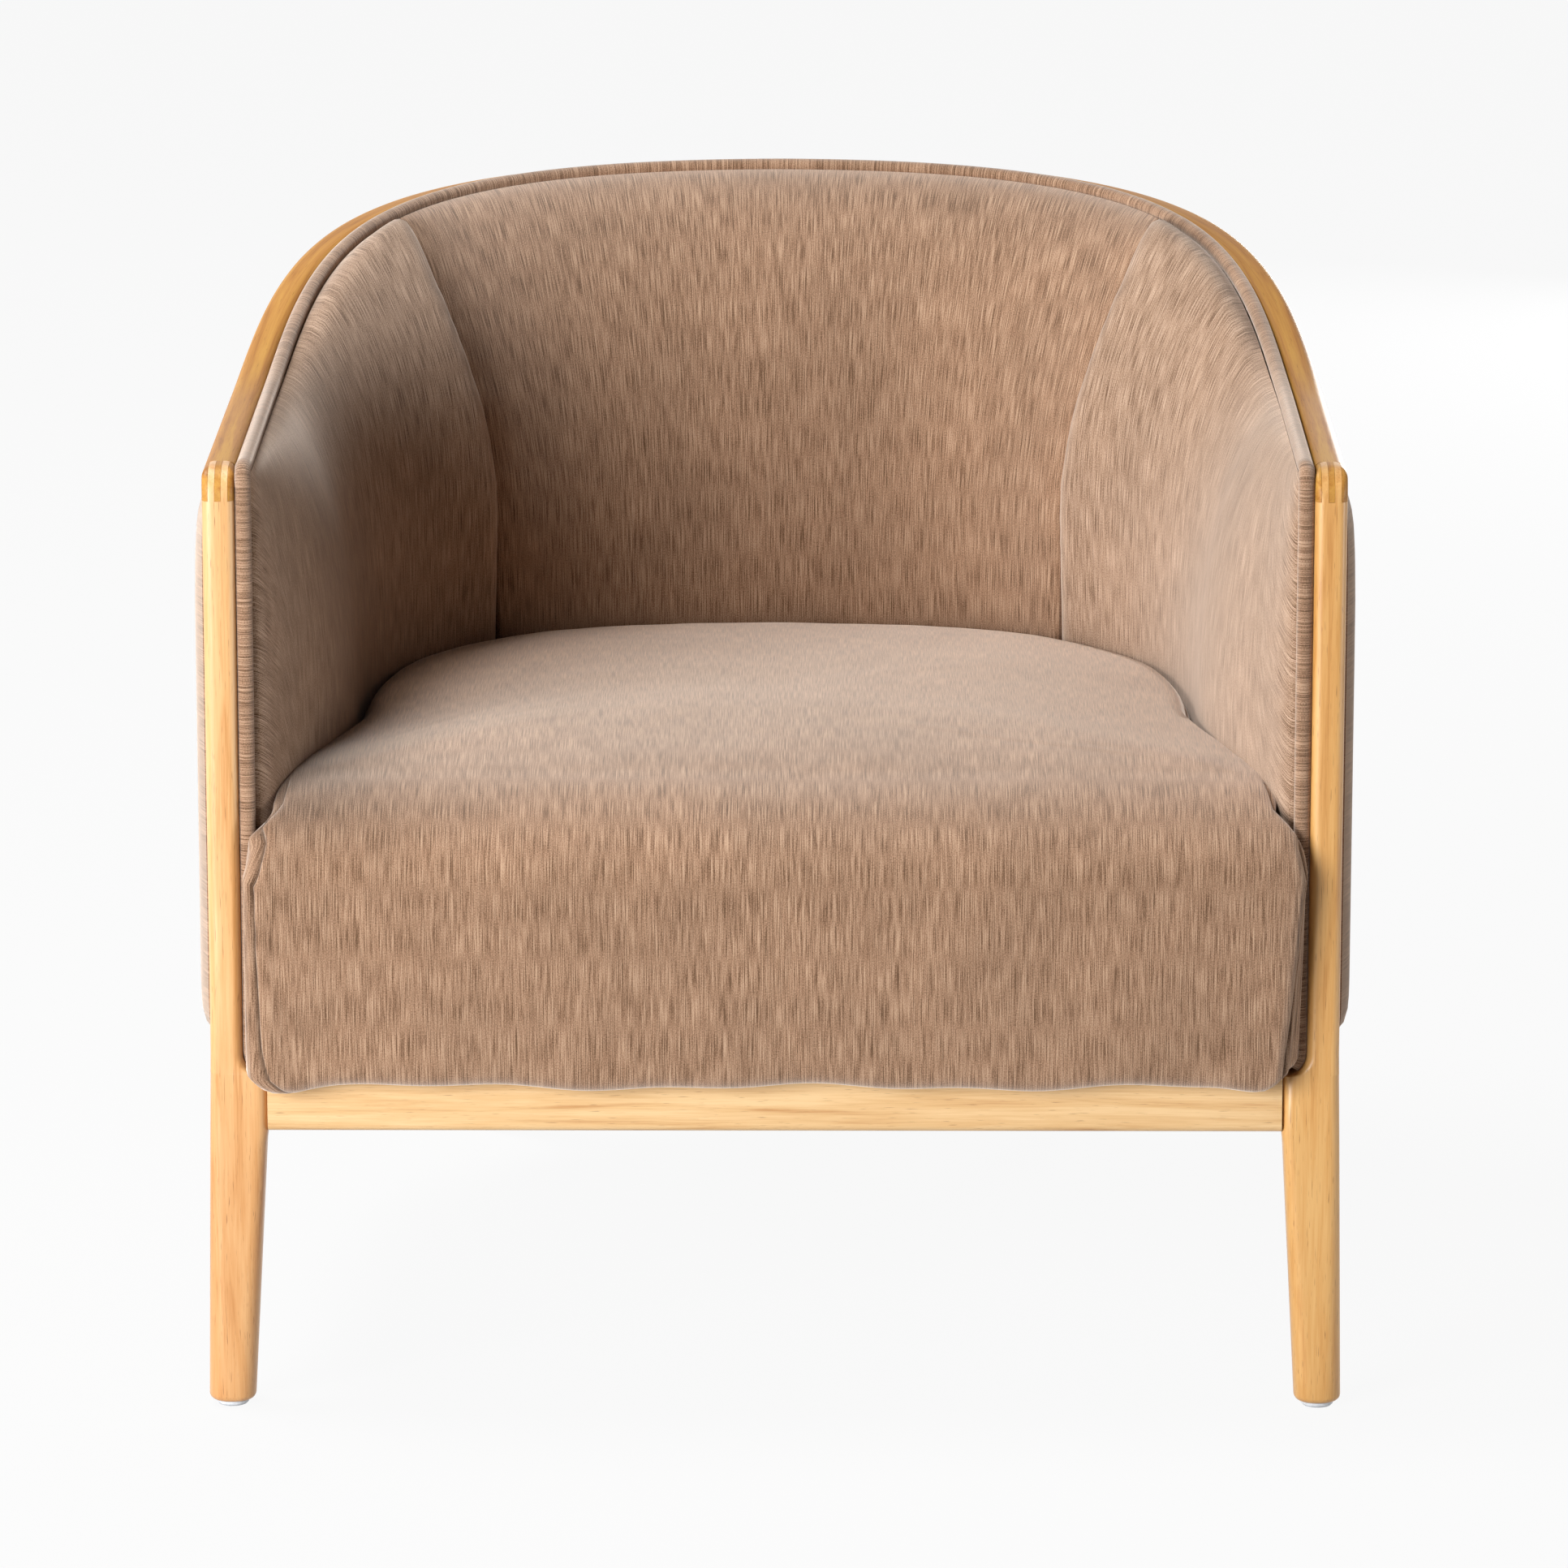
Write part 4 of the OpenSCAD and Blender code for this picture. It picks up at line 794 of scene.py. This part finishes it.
def thread_run(x, y, z):
    """Distance across and along the threads, which run from the back over the nose and down."""
    arc_y, arc_z = NOSE_DEEP - NOSE, EDGE_TOP - NOSE_R
    if y > arc_y:
        return x, y - arc_y + arc_lengths[-1]
    if z < arc_z:
        return x, z - arc_z
    return x, np.interp(math.atan2((z - arc_z) / NOSE_R, (arc_y - y) / NOSE_DEEP), arc_angles, arc_lengths)


print("cloth over the nose:", round(float(arc_lengths[-1])), "mm")

# %% Seams and stuffing
LEFT_SEAM = ((215, 33), (235, 28), (300, 26), (350, 26), (375, 22), (398, 18))
RIGHT_SEAM = ((215, 20), (300, 15), (398, 15))
TOP_SEAM_RING, FAR = 7, 99


def seam_relief(z, far):
    """How far the cloth stands out beside a seam: drawn in, then gathered, then puffed up."""
    drawn = 2.4 * math.exp(-(far / 1.6) ** 2)
    gather = 0.2 * math.sin(z / 5 + 2 * math.sin(z / 17)) * math.exp(-((far - 3) / 4) ** 2)
    return 1.4 * math.exp(-((far - 8) / 5) ** 2) + gather - drawn


def stuffing(x, y, z):
    """Soft bumps, broad ones with smaller ones on them."""
    broad, small = (noise.noise(Vector((x / size, y / size, z / size))) for size in (70, 24))
    return 1.3 * (broad + 0.4 * small)


def cushion():
    outline, turned = seamed_outline()
    rings, side_count = cushion_rings(outline)
    around = boxing_run(outline)
    top_seam = side_count + TOP_SEAM_RING
    beside_top_seam = {top_seam: 0.0, top_seam - 1: 1.5, top_seam + 1: 1.5}
    run = []
    for i, ring in enumerate(rings):
        values = []
        for j, (x, y, z) in enumerate(ring):
            past = turned[j] - at_height(LEFT_SEAM if x < 0 else RIGHT_SEAM, z)
            front = past > 0
            far = abs(past) if len(UNDER_SHARES) < i < top_seam + 6 else FAR
            if not front:
                far = min(far, beside_top_seam.get(i, FAR))
            away = np.array([x, y - CUSHION_MID, 0 if i < side_count else 60.0])
            x, y, z = np.array([x, y, z]) + away / np.linalg.norm(away) * seam_relief(z, far)
            bump = stuffing(x, y, z)
            if i > top_seam + 3:
                z += bump * 0.7
            elif i > len(UNDER_SHARES) and front:
                y -= bump * smooth((z - 215) / 40)
            ring[j] = (x, y, z)
            across, along = thread_run(x, y, z) if front or i > top_seam else (around[j], z)
            # The third number of the run is painted shade for the seam grooves, strongest right at the seam
            values.append((across, along, math.exp(-(far / 1.1) ** 2)))
        run.append(values)
    return sweep("seat_cushion", rings, run, sharp=60)


seat = cushion()
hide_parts("cushion_foam", "cushion_cover")
print("cushion faces:", len(seat.data.polygons))

# %% [markdown]
# ## Under the cushion
# The platform cloth is stretched over elastic straps, and a black dust cover closes the seat from below.
# Both are grids that follow the frame. The straps lie in two layers; the long ones rise at every second
# crossing.

# %% Platform cloth and dust cover
SHEET_T, SHEET_COLUMNS = 0.8, 24


def inner_edge(inset, front, back, count):
    """Edge of a sheet inside the hoop, from one front corner round the back to the other."""
    pts = [plan(u) + inward(u) * inset for u in places(0.02, 3.98, 6)]
    return resampled([p for p in pts if front <= p[1] <= back], count)


def flat_sheet(name, edge, z):
    """A sheet between the left and the right half of an edge, and its area in square metres."""
    rows, cols = len(edge) // 2, SHEET_COLUMNS + 1
    flat = [a + (b - a) * (k / SHEET_COLUMNS) for a, b in zip(edge[:rows], edge[::-1]) for k in range(cols)]
    points = [(x, y, level) for level in (z, z + SHEET_T) for x, y in flat]
    half, faces, area = len(flat), [], 0.0
    for i in range(rows - 1):
        for a in range(i * cols, i * cols + cols - 1):
            faces += [(a, a + 1, a + cols + 1, a + cols),
                      (half + a, half + a + cols, half + a + cols + 1, half + a + 1)]
            one, other = flat[a + cols + 1] - flat[a], flat[a + cols] - flat[a + 1]
            area += abs(one[0] * other[1] - one[1] * other[0]) / 2
    border = [i * cols for i in range(rows)] + [half - cols + k for k in range(1, cols)]
    border += [i * cols + cols - 1 for i in range(rows - 2, -1, -1)] + list(range(cols - 2, 0, -1))
    faces += [(a, b, b + half, a + half) for a, b in zip(border, border[1:] + border[:1])]
    return mesh_piece(name, points, faces, [(x, y, 0) for x, y, _ in points], sharp=50), area / 1e6


sheets = []
for node, edge, z, carrier in (("platform_cloth", inner_edge(26.6, 30, 520, 90), 219.4, "seat_webbing"),
                               ("dust_cover", inner_edge(10, 32, 650, 110), 178.2, "front_rail")):
    sheet, area = flat_sheet(node + "_sheet", edge, z)
    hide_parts(node)
    corners = np.array([v.co for v in sheet.data.vertices])
    size = tuple(float(v) for v in np.ptp(corners, axis=0)[:2])
    sheets.append(sheet)
    print(sheet.name, "flat size", [round(v, 3) for v in size], "area", round(area, 3))

# %% Elastic straps
STRAP_W, STRAP_T, STRAP_Z, STRAP_RISE, CROSS_Z, STRAP_POINTS = 60, 1.5, 216, 0.85, 217.7, 60
LONG_XS = [0.84 * 476 * (i / 4 - 0.5) for i in range(5)]
CROSS_Y, CROSS_STEP, CROSS_HALVES = 116, 108, (318, 318, 262, 262)


def strap_boxes(lines):
    """Bands along lines, each given with the direction of its width."""
    points, faces, run = [], [], []
    for line, across in lines:
        base, end = len(points), len(points) + 4 * (len(line) - 1)
        for x, y, z in line:
            for side in (-STRAP_W / 2, STRAP_W / 2):
                points += [(x + across[0] * side, y + across[1] * side, z + lift) for lift in (0, STRAP_T)]
                run += [(side, x + y, 0)] * 2
        for a in range(base, end, 4):
            faces += [(a, a + 4, a + 6, a + 2), (a + 1, a + 3, a + 7, a + 5), (a, a + 1, a + 5, a + 4),
                      (a + 2, a + 6, a + 7, a + 3)]
        faces += [(base, base + 2, base + 3, base + 1), (end, end + 1, end + 3, end + 2)]
    return mesh_piece("seat_straps", points, faces, run)


straps = []
for i, x in enumerate(LONG_XS):
    line = [(x, y, STRAP_Z + STRAP_RISE * (round((y - CROSS_Y) / CROSS_STEP + i) % 2))
            for y in np.linspace(6, 523, STRAP_POINTS)]
    straps.append((line, (1, 0)))
for i, half in enumerate(CROSS_HALVES):
    line = [(x, CROSS_Y + CROSS_STEP * i, CROSS_Z) for x in np.linspace(-half, half, STRAP_POINTS)]
    straps.append((line, (0, 1)))
webbing = strap_boxes(straps)
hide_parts("seat_webbing")
print("straps:", len(straps))

# %% [markdown]
# ## Colours and nodes
# Colours are hex values as a picture editor shows them, and one function turns them into the linear values
# that the renderer works in. One more function adds a node.

# %% Colour and node helpers


def srgb(hex_value):
    parts = [int(hex_value[i:i + 2], 16) / 255 for i in (1, 3, 5)]
    return tuple(c / 12.92 if c <= 0.04045 else ((c + 0.055) / 1.055) ** 2.4 for c in parts) + (1.0,)


def add(tree, kind, inputs=(), stops=(), **settings):
    """A node with its settings, inputs and colour stops. A node given as an input links its first output."""
    made = tree.nodes.new(kind)
    for key, value in settings.items():
        setattr(made, key, value)
    for key, value in dict(inputs).items():
        if isinstance(value, bpy.types.Node):
            value = value.outputs[0]
        if isinstance(value, bpy.types.NodeSocket):
            tree.links.new(value, made.inputs[key])
        else:
            made.inputs[key].default_value = value
    for i, (position, hex_value) in enumerate(stops):
        elements = made.color_ramp.elements
        stop = elements[i] if i < 2 else elements.new(position)
        stop.position = position
        stop.color = srgb(hex_value)
    return made


def blank(name):
    material = bpy.data.materials.new(name)
    material.use_nodes = True
    material.node_tree.nodes.clear()
    return material, material.node_tree


def finish_material(tree, inputs):
    add(tree, "ShaderNodeOutputMaterial", {"Surface": add(tree, "ShaderNodeBsdfPrincipled", inputs)})


print("linear value of middle grey:", round(srgb("#808080")[0], 3))

# %% [markdown]
# ## Chenille
# The cloth is a mink chenille: soft tufted yarns about a millimetre thick, darker where the pile parts. Its
# nap brightens at a grazing angle and is streaked along the yarns. The streaks are noise stretched along the
# run of the threads. On the arm pads the long ones turn with the fan of the threads near the posts.

# %% Chenille
# Width and length of the streaks in mm, their weight, and whether they follow the fan
STREAKS = ((0.42, 22.0, 0.46, True), (0.85, 45.0, 0.20, True), (9, 20, 0.08, False),
           (0.55, 0.9, 0.26, False))
# Angle of the turned streaks, and the third number of the run where they start and are full
FAN = ((28, 0.0, 0.5), (56, 0.5, 1.0), (-28, 0.0, -0.5), (-56, -0.5, -1.0))
PATCHES = {"From Min": 0.3, "From Max": 0.7, "To Min": 0.92, "To Max": 1.08}


def streaks(tree, run, wide, long, angle=0):
    """Noise in streaks of a width and length in mm, turned by an angle."""
    if angle:
        inputs = {"Vector": run, "Angle": math.radians(angle)}
        run = add(tree, "ShaderNodeVectorRotate", inputs, rotation_type="Z_AXIS")
    at = add(tree, "ShaderNodeMapping", {"Vector": run, "Scale": (1 / wide, 1 / long, 0)})
    return add(tree, "ShaderNodeTexNoise", {"Vector": at, "Scale": 1.0, "Detail": 2.0})


def fanned(tree, run, third, wide, long):
    """Streaks that turn with the third number of the run: -1 is 56 degrees one way and 1 the other way."""
    made = streaks(tree, run, wide, long)
    for angle, start, full in FAN:
        weight = add(tree, "ShaderNodeMapRange", {"Value": third, "From Min": start, "From Max": full})
        turned = streaks(tree, run, wide, long, angle)
        made = add(tree, "ShaderNodeMix", {0: weight, 2: made, 3: turned})
    return made


def chenille(name, light, middle, dark, fans=False, sheen=0.9):
    material, tree = blank(name)
    run = add(tree, "ShaderNodeAttribute", attribute_name="run").outputs["Vector"]
    third = add(tree, "ShaderNodeSeparateXYZ", {0: run}).outputs["Z"]
    height = 0.0
    for wide, long, weight, turns in STREAKS:
        drawn = fanned(tree, run, third, wide, long) if fans and turns else streaks(tree, run, wide, long)
        height = add(tree, "ShaderNodeMath", {0: drawn, 1: weight, 2: height}, operation="MULTIPLY_ADD")
    cloth = add(tree, "ShaderNodeValToRGB", {"Fac": height}, ((0.42, dark), (0.50, middle), (0.60, light)))
    patches_and_seam_shade = add(tree, "ShaderNodeMapRange", {"Value": streaks(tree, run, 70, 95), **PATCHES})
    # Painted shade: on the seat cushion the third number of the run darkens the cloth along its seam
    # grooves; on the welt and cover it is nought
    if not fans:
        painted_seam_shade = add(tree, "ShaderNodeMapRange", {"Value": third, "To Min": 1.0, "To Max": 0.3})
        patches_and_seam_shade = add(tree, "ShaderNodeMath", {0: patches_and_seam_shade, 1: painted_seam_shade}, operation="MULTIPLY")
    coloured = add(tree, "ShaderNodeMix", {0: 1.0, 6: cloth, 7: patches_and_seam_shade}, data_type="RGBA",
                   blend_type="MULTIPLY")
    bump = add(tree, "ShaderNodeBump", {"Strength": 0.4, "Distance": 0.0006, "Height": height})
    finish_material(tree, {"Base Color": coloured.outputs[2], "Roughness": 0.95, "Specular IOR Level": 0.0,
                           "Sheen Weight": sheen, "Sheen Roughness": 0.5, "Sheen Tint": srgb("#fff2e6"),
                           "Normal": bump})
    return material


CLOTH_COLOURS = ("#b5967c", "#927159", "#604632")
# Painted sheen: the arm pads get a lighter, less saturated copy of the cloth for the whitish sheen of their
# pile, with a weaker sheen of their own
arm_cloth_painted_sheen = chenille("mink_chenille_arms_painted_sheen", "#bfa38d", "#9a7d66", "#654b38", fans=True, sheen=0.6)
pad_cloth = chenille("mink_chenille_pads", *CLOTH_COLOURS, fans=True)
seat_cloth = chenille("mink_chenille_seat", *CLOTH_COLOURS)
outer_cloth = chenille("mink_chenille_outside", *CLOTH_COLOURS)
covered = [(arm_pad, arm_cloth_painted_sheen, "upholstery") for arm_pad in arm_pads]
covered += [(back_pad, pad_cloth, "upholstery"), (welt, outer_cloth, "upholstery"),
            (cover, outer_cloth, "padded_upholstery"), (seat, seat_cloth, "seat_upholstery")]
for obj, cloth, slot in covered:
    obj.data.materials.append(cloth)
print("pieces in chenille:", len(covered))

# %% [markdown]
# ## Lacquered rubberwood
# The show wood is pale rubberwood with many short brown pores under a thin lacquer of soft, even gloss. The
# grain is noise stretched twenty-four times along the piece; pores are drawn 0.6 mm wide and 13 mm long,
# coarser than real ones, so that they still show. The arm rails and crest are warmer, darker and duller than
# the legs. Painted shade: the left front leg and the rear legs are a tone darker below the seat, where less
# light reaches them, and the right front leg is darker throughout, for the light falling off to the right.

# %% Wood
TURNS = {"X": (0, math.pi / 2, 0), "Z": (0, 0, 0)}
PORES = {"From Min": 0.66, "From Max": 0.78, "To Max": 0.75}
# Heights in mm over which painted shade darkens the legs towards the floor
FOOT_SHADE_HEIGHTS = {"From Min": 260.0, "From Max": 150.0}


def grain(tree, at, across, along, inputs, bend=None):
    """Noise whose patches are across mm wide and along mm long, bent by a colour if one is given."""
    at = add(tree, "ShaderNodeMapping", {"Vector": at, "Scale": (1 / across, 1 / across, 1 / along)})
    if bend:
        at = add(tree, "ShaderNodeVectorMath", {0: at, 1: bend}, operation="ADD")
    return add(tree, "ShaderNodeTexNoise", {"Vector": at, "Scale": 1.0, **inputs})


def wood(name, light, middle, dark, pore, along=None, gloss=0.38, shine=1.0, foot=None):
    """Wood whose grain follows the run of the piece or, in a CAD node, one axis."""
    material, tree = blank(name)
    if along:
        at = add(tree, "ShaderNodeTexCoord").outputs["Object"]
        inputs = {"Vector": at, "Scale": (1000, 1000, 1000), "Rotation": TURNS[along]}
        run = add(tree, "ShaderNodeMapping", inputs)
    else:
        run = add(tree, "ShaderNodeAttribute", attribute_name="run").outputs["Vector"]
    bend = grain(tree, run, 30, 260, {"Detail": 2.0}).outputs["Color"]
    rings = grain(tree, run, 7, 170, {"Detail": 3.0, "Roughness": 0.6, "Distortion": 0.6}, bend)
    fibre = grain(tree, run, 1 / 1.1, 28, {"Detail": 3.0})
    pores = grain(tree, run, 0.6, 13, {"Detail": 1.0})
    tone = add(tree, "ShaderNodeMath", {0: fibre, 1: 0.35, 2: rings}, operation="MULTIPLY_ADD")
    body = add(tree, "ShaderNodeValToRGB", {"Fac": tone}, ((0.42, dark), (0.62, middle), (0.84, light)))
    fleck = add(tree, "ShaderNodeMapRange", {"Value": pores, **PORES})
    coloured = add(tree, "ShaderNodeMix", {0: fleck, 6: body, 7: srgb(pore)}, data_type="RGBA")
    # Painted shade: below the seat the wood is darkened towards the floor, where the lower legs get less
    # light
    if foot:
        height = add(tree, "ShaderNodeSeparateXYZ", {0: run}).outputs["Z"]
        foot_shade = add(tree, "ShaderNodeMapRange", {"Value": height, **FOOT_SHADE_HEIGHTS})
        coloured = add(tree, "ShaderNodeMix", {0: foot_shade, 6: coloured.outputs[2], 7: srgb(foot)},
                       data_type="RGBA", blend_type="MULTIPLY")
    bump = add(tree, "ShaderNodeBump", {"Strength": 0.15, "Distance": 0.0003, "Height": fibre})
    rough = add(tree, "ShaderNodeMapRange", {"Value": rings, "To Min": gloss - 0.05, "To Max": gloss + 0.08})
    finish_material(tree, {"Base Color": coloured.outputs[2], "Roughness": rough, "Normal": bump,
                           "Specular IOR Level": 0.5 * shine, "Coat Weight": 0.15 * shine,
                           "Coat Roughness": 0.25})
    return material


# The foot colour multiplies the leg wood near the floor as painted shade
leg_wood = wood("lacquered_rubberwood_leg", "#dfb37e", "#d5a269", "#be854a", "#85542b", foot="#efe5dc")
# Painted shade: a darker copy of the leg wood for the right front leg, which gets less light than the left
shaded_leg_wood = wood("lacquered_rubberwood_painted_shade_leg", "#d7a868", "#cd9856", "#b77d3c", "#7f4e20")
arm_wood = wood("lacquered_rubberwood_rail", "#be8d43", "#ad7735", "#925d22", "#633b13", gloss=0.45,
                shine=0.4)
rail_wood = wood("lacquered_rubberwood_seat_rail", "#d6aa74", "#c99861", "#ac7743", "#7d512b")
front_wood = wood("lacquered_rubberwood_front", "#debb8a", "#d2aa76", "#b98854", "#7d522e", along="X")
timbers = {"leg": leg_wood, "arm": arm_wood, "rail": rail_wood}
# The right front leg takes the painted-shade copy of the leg wood
for obj, kind in show_wood:
    obj.data.materials.append(shaded_leg_wood if "front_leg_finish_right" in obj.name else timbers[kind])
print("pieces in lacquered wood:", len(show_wood))

# %% [markdown]
# ## Hidden and small parts
# Screws and bolts are zinc-plated steel, the glides pale nylon, the board birch plywood, the blocks plain
# softwood. A turned-over chair shows them, so each has its finish.

# %% Small finishes


def plain(name, light, dark, grain_mm, inputs, bump=0.3):
    """A finish with a fine mottled surface whose patches are grain_mm across."""
    material, tree = blank(name)
    at = add(tree, "ShaderNodeTexCoord").outputs["Object"]
    mottle = add(tree, "ShaderNodeTexNoise", {"Vector": at, "Scale": 1000 / grain_mm, "Detail": 3.0})
    body = add(tree, "ShaderNodeValToRGB", {"Fac": mottle}, ((0.35, dark), (0.65, light)))
    raised = add(tree, "ShaderNodeBump", {"Strength": bump, "Distance": 0.0002, "Height": mottle})
    finish_material(tree, {"Base Color": body, "Normal": raised, **inputs})
    return material


black_cloth = plain("black_spunbond", "#2b2b2d", "#161617", 0.8, {"Roughness": 0.9})
elastic = plain("elastic_webbing", "#35322f", "#191817", 1.5, {"Roughness": 0.85})
zinc = plain("zinc_plated_steel", "#c9cbd0", "#aeb1b8", 2.0, {"Metallic": 1.0, "Roughness": 0.32}, 0.1)
nylon = plain("glide_nylon", "#cfd3d8", "#bfc4ca", 1.5, {"Roughness": 0.45}, 0.1)
zip_tape = plain("zip_tape", "#6a5746", "#4b3c30", 0.9, {"Roughness": 0.8})
softwood = wood("planed_softwood", "#e0c79c", "#d2b482", "#b8935f", "#96714a", along="X", gloss=0.6)
plywood = wood("birch_plywood", "#d9bf94", "#c9a977", "#ac8654", "#8a6a45", along="Z", gloss=0.6)
for sheet in sheets:
    sheet.data.materials.append(black_cloth)
webbing.data.materials.append(elastic)
finishes = ((front_wood, "front_rail"), (plywood, "shell_board"), (zip_tape, "cushion_zip"),
            (zinc, "block_screws leg_bolts batten_screws"),
            (softwood, "cross_rail corner_blocks rail_dowels crest_dowels webbing_battens shell_studs"),
            (nylon, "glide_front_left glide_front_right glide_rear_left glide_rear_right"))
for material, names in finishes:
    for name in names.split():
        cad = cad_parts[name]
        cad.data.materials.clear()
        cad.data.materials.append(material)
    print("in", material.name + ":", names)

# %% [markdown]
# ## Everything rides on its body
# The cushion lifts out, so it has its own body; all other pieces belong to the frame.

# %% Bodies
framed = [obj for obj, _ in show_wood] + arm_pads + [back_pad, welt, cover] + sheets + [webbing]
for obj in framed:
    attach(obj, "frame")
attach(seat, "cushion")
print("pieces on the frame:", len(framed))

# %% [markdown]
# ## Studio
# A plain white floor, a broad low key from the front left, a high lamp from the left for the seat and the
# right arm, a weak low fill from the right and one behind, which only shows in views of the back. The white
# of the background is what the camera sees of the floor and world.

# %% Floor and world
FLOOR_HALF, FLOOR_Z, WHITE = 9000, -0.2, (1, 1, 1, 1)
corners = [(FLOOR_HALF * x, FLOOR_HALF * y, FLOOR_Z) for x, y in ((-1, -1), (1, -1), (1, 1), (-1, 1))]
floor = mesh_piece("floor", corners, [(0, 1, 2, 3)])
floor_paint, tree = blank("white_floor")
paint = add(tree, "ShaderNodeBsdfDiffuse", {"Color": srgb("#b4b4b4")})
glow = add(tree, "ShaderNodeEmission", {"Color": WHITE, "Strength": 1.0})
half_seen = add(tree, "ShaderNodeMixShader", {0: 0.93, 1: paint, 2: glow})
path = add(tree, "ShaderNodeLightPath").outputs
seen = add(tree, "ShaderNodeMath", {0: path["Is Camera Ray"], 1: path["Is Glossy Ray"]}, operation="MAXIMUM")
mixed = add(tree, "ShaderNodeMixShader", {0: seen, 1: paint, 2: half_seen})
add(tree, "ShaderNodeOutputMaterial", {"Surface": mixed})
floor.data.materials.append(floor_paint)

world = bpy.data.worlds.new("studio")
bpy.context.scene.world = world
world.use_nodes = True
tree = world.node_tree
tree.nodes.clear()
path = add(tree, "ShaderNodeLightPath").outputs
seen = add(tree, "ShaderNodeMath", {0: path["Is Camera Ray"], 1: path["Is Glossy Ray"]}, operation="MAXIMUM")
seen = add(tree, "ShaderNodeMath", {0: seen, 1: path["Is Transmission Ray"]}, operation="MAXIMUM")
sky = add(tree, "ShaderNodeBackground", {"Color": WHITE, "Strength": 0.02})
white = add(tree, "ShaderNodeBackground", {"Color": WHITE, "Strength": 1.0})
mixed = add(tree, "ShaderNodeMixShader", {0: seen, 1: sky, 2: white})
add(tree, "ShaderNodeOutputWorld", {"Surface": mixed})
print("nodes of the world:", len(tree.nodes))

# %% Lamps
AIM = Vector((0, 0, 0.4))
LAMPS = {"key": ((-2.09, -2.88, 0.96), 2.1, 176), "high": ((-1.46, 0.13, 3.69), 1.5, 115),
         "fill": ((3.4, -0.9, 0.45), 1.2, 42), "rear": ((1.5, 3.5, 0.7), 1.5, 60)}
for name, (at, size, power) in LAMPS.items():
    data = bpy.data.lights.new(name, "AREA")
    data.shape = "DISK"
    data.size = size
    data.energy = power
    lamp = bpy.data.objects.new(name, data)
    lamp.location = at
    lamp.rotation_euler = (AIM - Vector(at)).to_track_quat("-Z", "Y").to_euler()
    bpy.context.scene.collection.objects.link(lamp)
bpy.context.scene.view_settings.view_transform = "Standard"
print("lamps and watts:", {name: power for name, (_, _, power) in LAMPS.items()})
